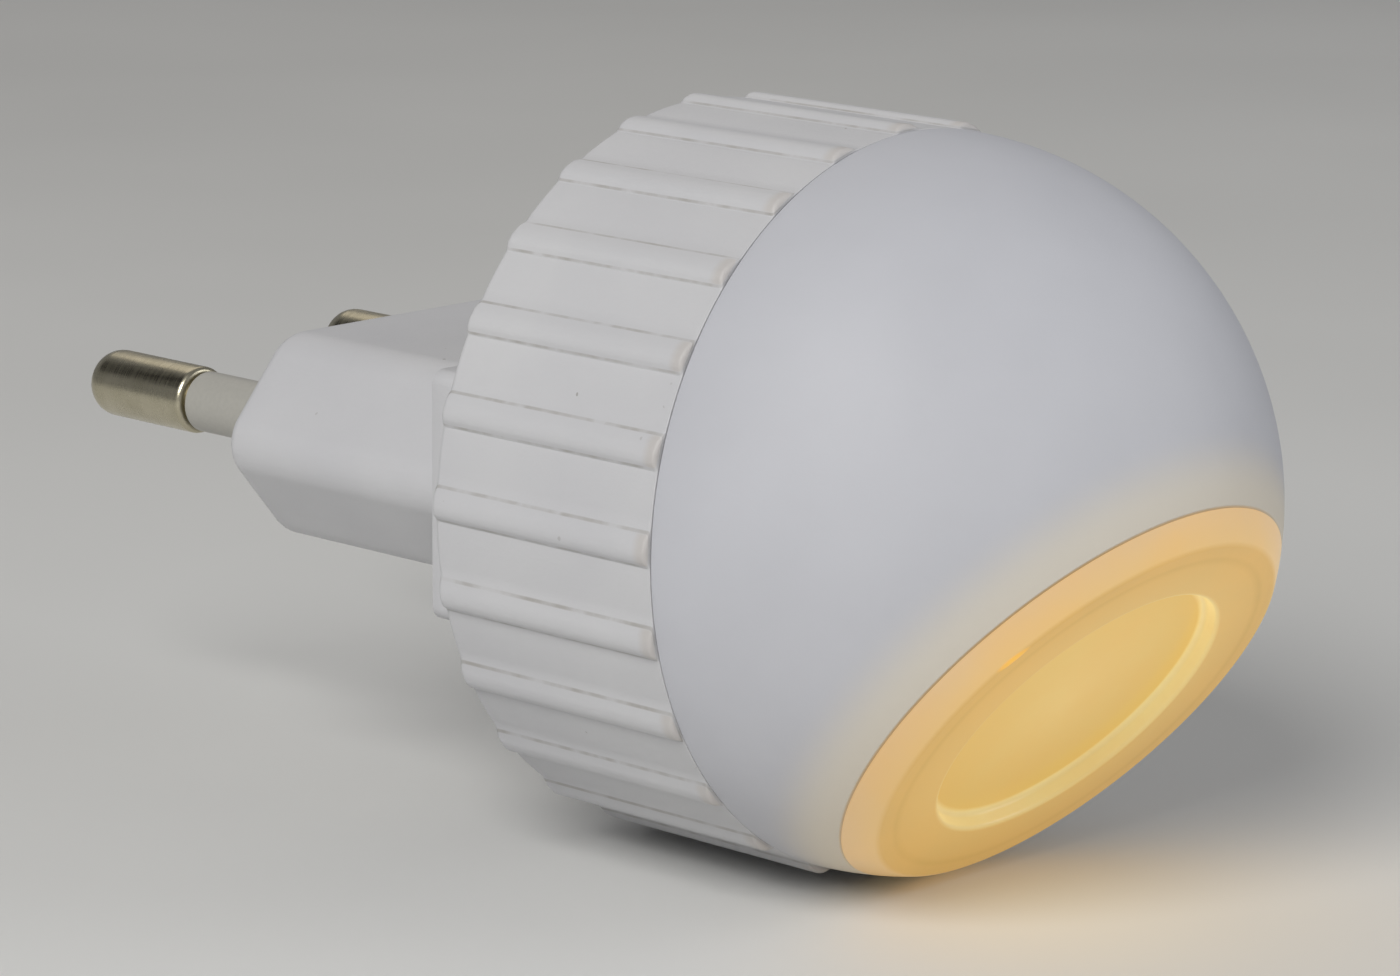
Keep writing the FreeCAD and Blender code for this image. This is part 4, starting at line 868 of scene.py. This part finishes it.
def rib_tree():
    """Geometry Nodes tree that raises the ribs on a round wall about Y."""
    tree = bpy.data.node_groups.new("raise_ribs", "GeometryNodeTree")
    sockets = {}
    tree.interface.new_socket("Geometry", in_out="OUTPUT", socket_type="NodeSocketGeometry")
    for name, kind in (("Geometry", "NodeSocketGeometry"), ("Rib Count", "NodeSocketInt"),
                       ("Rib Width", "NodeSocketFloat"), ("Rib Height", "NodeSocketFloat"),
                       ("First Rib", "NodeSocketFloat"), ("Wall Radius", "NodeSocketFloat"),
                       ("Rear", "NodeSocketFloat"), ("Rear Round", "NodeSocketFloat"),
                       ("Front", "NodeSocketFloat"), ("Front Round", "NodeSocketFloat"),
                       ("Edge", "NodeSocketFloat"), ("Material", "NodeSocketMaterial")):
        sockets[name] = tree.interface.new_socket(name, in_out="INPUT", socket_type=kind).identifier
    given = add(tree, "NodeGroupInput").outputs

    def calculate(operation, *terms):
        return maths(tree, operation, *terms)

    position = add(tree, "GeometryNodeInputPosition").outputs[0]
    split = add(tree, "ShaderNodeSeparateXYZ", {0: position}).outputs
    angle = calculate("SUBTRACT", calculate("ARCTAN2", split["Z"], split["X"]), given["First Rib"])
    half_pitch = calculate("DIVIDE", math.pi, given["Rib Count"])
    wrapped = calculate("WRAP", angle, half_pitch, calculate("MULTIPLY", half_pitch, -1.0))
    half_width = calculate("DIVIDE", calculate("DIVIDE", given["Rib Width"], 2.0), given["Wall Radius"])
    off_middle = calculate("DIVIDE", calculate("ABSOLUTE", wrapped), half_width)
    crown = calculate("SUBTRACT", 1.0, calculate("MULTIPLY", off_middle, off_middle))
    swell = calculate("POWER", calculate("MAXIMUM", crown, 0.0), 0.5)

    def round_end(distance, reach):
        """A quarter round from nothing at an end to one further in."""
        short = calculate("SUBTRACT", 1.0, calculate("DIVIDE", distance, reach))
        short = calculate("MINIMUM", calculate("MAXIMUM", short, 0.0), 1.0)
        return calculate("SQRT", calculate("SUBTRACT", 1.0, calculate("MULTIPLY", short, short)))

    rear = round_end(calculate("SUBTRACT", given["Rear"], split["Y"]), given["Rear Round"])
    front = round_end(calculate("SUBTRACT", split["Y"], given["Front"]), given["Front Round"])
    ends = calculate("MULTIPLY", rear, front)
    flat = add(tree, "ShaderNodeCombineXYZ", {0: split["X"], 2: split["Z"]}).outputs[0]
    radius = vector_maths(tree, "LENGTH", flat)
    outside = calculate("GREATER_THAN", radius, calculate("SUBTRACT", given["Wall Radius"], given["Edge"]))
    lift = calculate("MULTIPLY", calculate("MULTIPLY", swell, ends), given["Rib Height"])
    lift = calculate("MULTIPLY", lift, outside)
    push = scaled(tree, vector_maths(tree, "NORMALIZE", flat), lift)
    moved = add(tree, "GeometryNodeSetPosition", {"Geometry": given["Geometry"], "Offset": push})
    real = add(tree, "GeometryNodeRealizeInstances", {"Geometry": moved.outputs[0]})
    painted = add(tree, "GeometryNodeSetMaterial", {
        "Geometry": real.outputs[0], "Material": given["Material"]})
    add(tree, "NodeGroupOutput", {0: painted.outputs[0]})
    return tree, sockets


def run_tree(obj, tree, sockets, settings):
    """Give an object a Geometry Nodes modifier, set its inputs and bake it to a plain mesh."""
    modifier = obj.modifiers.new("nodes", "NODES")
    modifier.node_group = tree
    for name, setting in settings.items():
        modifier[sockets[name]] = setting
    bake_modifiers(obj)


RIB_TREE, RIB_SOCKETS = rib_tree()
print("rib tree:", len(RIB_TREE.nodes), "nodes,", len(RIB_SOCKETS), "inputs")

# %% [markdown]
# Three screws hold the housing from behind. Their heads sit in round seats in the rear face, which are
# cut last, with a boolean: the face is flat there, so the cut can't show in the shading.

# %% Grip with ribs and screw seats
SCREW_RADIUS = 1.1 * MM
SCREW_CLEARANCE = 0.1 * MM
SCREW_ANGLES = [math.radians(degrees) for degrees in (90, 210, 330)]
SCREW_RING = 15.9 * MM
SEAT_DEPTH = 1.53


def cylinder(name, start, finish, radius, segments=48):
    """A plain closed cylinder between two points on a line along Y."""
    foot = Vector((start.x, 0, start.z))
    rings = [ring(PIN_AXIS, along, radius, even_turns(segments), foot) for along in (start.y, finish.y)]
    return skin_of_rings(name, rings, caps=("start", "end"))


def cut_away(obj, cutters):
    """Subtract closed shapes from an object, then delete them."""
    for cutter in cutters:
        finish_mesh(cutter)
        modifier = obj.modifiers.new("cut", "BOOLEAN")
        modifier.operation = "DIFFERENCE"
        modifier.solver = "EXACT"
        modifier.object = cutter
    finish_mesh(obj)
    bake_modifiers(obj)
    for cutter in cutters:
        bpy.data.objects.remove(cutter)


def make_grip():
    obj = make_grip_cup()
    run_tree(obj, RIB_TREE, RIB_SOCKETS, {
        "Rib Count": RIB_COUNT, "Rib Width": RIB_WIDTH, "Rib Height": RIB_HEIGHT, "First Rib": RIB_FIRST,
        "Wall Radius": HEAD_RADIUS, "Rear": -GRIP_BACK, "Rear Round": RIB_REAR_END,
        "Front": -GRIP_FRONT, "Front Round": RIB_FRONT_END, "Edge": GRIP_EDGE, "Material": GRIP_ABS})
    cutters = []
    for angle in SCREW_ANGLES:
        place = Vector((SCREW_RING * math.cos(angle), 0, SCREW_RING * math.sin(angle)))
        seat, deep, behind = (Vector((0, -GRIP_BACK - depth * MM, 0)) for depth in (SEAT_DEPTH, 3.0, -1.0))
        head_room, shank_room = 2 * SCREW_RADIUS + SCREW_CLEARANCE, SCREW_RADIUS + SCREW_CLEARANCE
        cutters.append(cylinder("seat_cutter", place + behind, place + seat, head_room))
        cutters.append(cylinder("hole_cutter", place + seat * 0.99, place + deep, shank_room))
    cut_away(obj, cutters)
    dress(obj, "head", ["grip_housing"], GRIP_ABS)


make_grip()

# %% [markdown]
# ## The plug body
# Its section is a flat six-sided shape with large rounds at the four flat corners and the two side
# edges. The body is that section drawn again at each depth, a little smaller where the face rolls over.
# The face itself is flat with two holes for the sleeved pins, so it is filled between its outline and
# the two circles.

# %% Plug body section
PLUG_SLANT = math.radians(50)
PLUG_SIDE_ROUND = 2.5 * MM
PLUG_FLAT_ROUND = 3.0 * MM
PLUG_WALL = 1.8 * MM
FACE_WALL = 2.4 * MM
FACE_ROLL = 0.9 * MM
LEAST_ROUND = 0.3 * MM


def plug_section(inset, along, steps=12):
    """Points of the six-sided section at a place along Y, moved in by an inset."""
    lean = 1 / math.sin(PLUG_SLANT)
    sharp_side = PLUG_HALF_WIDTH + PLUG_SIDE_ROUND * (lean - 1) - inset * lean
    top = PLUG_HALF_HEIGHT - inset
    flat = sharp_side - top / math.tan(PLUG_SLANT)
    side_round = max(PLUG_SIDE_ROUND - inset, LEAST_ROUND)
    flat_round = max(PLUG_FLAT_ROUND - inset, LEAST_ROUND)
    corners = [(sharp_side, 0, side_round), (flat, top, flat_round), (-flat, top, flat_round),
               (-sharp_side, 0, side_round), (-flat, -top, flat_round), (flat, -top, flat_round)]
    path = rounded([corners[-1], *corners, corners[0]], steps)[1:-1]
    return np.array([(x, along, z) for x, z in path])


def fill_face(work, along, outer_count):
    """Fill the flat area at a place along Y between the section's outline and the two pin holes."""
    edges = [edge for edge in work.edges
             if edge.is_boundary and all(abs(vertex.co.y - along) < 1e-7 for vertex in edge.verts)]
    bmesh.ops.triangle_fill(work, edges=edges, use_beauty=True)
    print(f"face at {along / MM:.1f} mm filled from {len(edges)} edges, outline {outer_count}")


def make_plug_body():
    fine = 0.15 * MM
    rolled = rounded([(0, -2 * FACE_ROLL, 0), (0, 0, FACE_ROLL), (2 * FACE_ROLL, 0, 0)], steps=8)
    sections = [plug_section(inset, along) for inset, along in rolled[::-1]]
    sections += [plug_section(0, along) for along in np.linspace(-2 * MM, -PLUG_LENGTH + fine, 9)]
    sections += [plug_section(fine, -PLUG_LENGTH), plug_section(PLUG_WALL, -PLUG_LENGTH),
                 plug_section(PLUG_WALL, -FACE_WALL)]
    obj = skin_of_rings("plug_casing", sections)
    holes = []
    for side in (-1, 1):
        tube = [(SLEEVE_RADIUS, along) for along in (0, -FACE_WALL)]
        rings = lathe(PIN_AXIS, tube, even_turns(48), Vector((side * PIN_X, 0, 0)))
        holes.append(skin_of_rings("hole", rings))
    work = bmesh.new()
    for part in (obj, *holes):
        work.from_mesh(part.data)
    for part in holes:
        bpy.data.objects.remove(part)
    for along in (0, -FACE_WALL):
        fill_face(work, along, len(sections[0]))
    work.to_mesh(obj.data)
    work.free()
    dress(obj, "plug", ["plug_body"], SATIN_ABS)


make_plug_body()

# %% [markdown]
# ## Pins and sleeves
# Each pin is turned: a rounded bare end, a rolled edge where it meets the sleeve, and a thinner shank
# inside the sleeve. A narrow groove is left between the two, which reads as a dark line in the
# photograph.

# %% Pins and sleeves
PIN_RADIUS = 2.0 * MM
PIN_BARE = 8.9 * MM
SHANK = 1.45 * MM
SHOULDER_RADIUS = 2.6 * MM
SHOULDER_THICK = 1.2 * MM
TAIL_RADIUS = 1.2 * MM
TAIL_LENGTH = 4.6 * MM
TIP = 0.01 * MM


def make_pin(side, name):
    heel = PIN_LENGTH - PIN_BARE
    shoulder = -FACE_WALL - SHOULDER_THICK
    tail = shoulder - TAIL_LENGTH
    outline = rounded([
        (TIP, tail, 0), (TAIL_RADIUS, tail, 0.2 * MM), (TAIL_RADIUS, shoulder, 0),
        (SHOULDER_RADIUS, shoulder, 0.1 * MM), (SHOULDER_RADIUS, -FACE_WALL, 0), (SHANK, -FACE_WALL, 0),
        (SHANK, heel, 0), (PIN_RADIUS, heel, 0.35 * MM), (PIN_RADIUS, PIN_LENGTH, 1.6 * MM),
        (TIP, PIN_LENGTH, 0)], steps=10)
    centre = Vector((side * PIN_X, 0, 0))
    rings = lathe(PIN_AXIS, outline, even_turns(72), centre)
    obj = skin_of_rings(f"pin_{name}_turned", rings, caps=("start", "end"))
    dress(obj, "plug", [f"pin_{name}"], NICKEL)
    sleeve = rounded([
        (SHANK, -FACE_WALL, 0), (SLEEVE_RADIUS, -FACE_WALL, 0), (SLEEVE_RADIUS, SLEEVE_END, 0.12 * MM),
        (SHANK, SLEEVE_END, 0), (SHANK, -FACE_WALL, 0)])[:-1]
    rings = lathe(PIN_AXIS, sleeve, even_turns(64), centre)
    obj = skin_of_rings(f"pin_{name}_sleeve", rings, closed=True)
    dress(obj, "plug", [f"pin_sleeve_{name}"], SLEEVE)


for side, name in ((-1, "left"), (1, "right")):
    make_pin(side, name)

# %% [markdown]
# ## Softened machine parts
# The hub and the screws in the grip's rear face show from behind, and the construction already has
# their shape. What they lack is a softened edge. A copy of the mesh is merged, its flat areas are
# joined to whole faces, and a narrow bevel runs along every real edge.

# %% Softened copies


def soften(node, name, body, material, width):
    """A copy of a construction node with a narrow bevel on its sharp edges."""
    obj = bpy.data.objects.new(name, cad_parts[node].data.copy())
    bpy.context.collection.objects.link(obj)
    work = bmesh.new()
    work.from_mesh(obj.data)
    bmesh.ops.remove_doubles(work, verts=work.verts, dist=0.001 * MM)
    bmesh.ops.dissolve_limit(work, angle_limit=math.radians(0.5), verts=work.verts, edges=work.edges)
    work.to_mesh(obj.data)
    work.free()
    bevel = obj.modifiers.new("bevel", "BEVEL")
    bevel.width = width
    bevel.segments = 2
    bevel.limit_method = "ANGLE"
    bevel.angle_limit = math.radians(35)
    bevel.use_clamp_overlap = True
    bake_modifiers(obj)
    dress(obj, body, [node], material)


soften("swivel_hub", "hub", "plug", SATIN_ABS, 0.15 * MM)
soften("housing_screws", "rear_screws", "head", STEEL, 0.08 * MM)

# %% [markdown]
# The pieces inside keep the construction's own meshes. Each one only trades its flat colour for its
# finish.

# %% Inner pieces keep their shape and take their finish
INNER_FINISHES.update({node: STEEL for node in ("clamp_screws", "hub_screws", "ring_screws")})
INNER_FINISHES["disc_spring"] = SPRING_STEEL
INNER_FINISHES["retaining_ring"] = INNER_FINISHES["pin_clamp"]
for node, material in INNER_FINISHES.items():
    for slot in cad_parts[node].material_slots:
        slot.material = material
print("inner pieces dressed:", len(INNER_FINISHES))

# %% [markdown]
# ## The floor
# A plain pale sheet lies just under the head. It takes the object's shadow and, below the lens, a pool
# of amber light, which is the lamp's own.

# %% Floor
FLOOR_SIZE = 4.0
FLOOR_GAP = 0.02 * MM


def make_floor():
    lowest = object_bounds()[0][2] - FLOOR_GAP
    half = FLOOR_SIZE / 2
    mesh = bpy.data.meshes.new("floor")
    corners = [(-half, -half, lowest), (half, -half, lowest), (half, half, lowest), (-half, half, lowest)]
    mesh.from_pydata(corners, [], [(0, 1, 2, 3)])
    obj = bpy.data.objects.new("floor", mesh)
    bpy.context.collection.objects.link(obj)
    material, tree, shader, place = new_material("pale_sheet", Roughness=0.7)
    tone = noise(tree, place, 60 * MM, detail=2.0)
    tint = ramp(tree, tone, 0.3, 0.7, colour("#dcdcda"), colour("#e1e1df"))
    tree.links.new(tint, shader.inputs["Base Color"])
    mesh.materials.append(material)
    print(f"floor at {lowest / MM:.2f} mm")


make_floor()
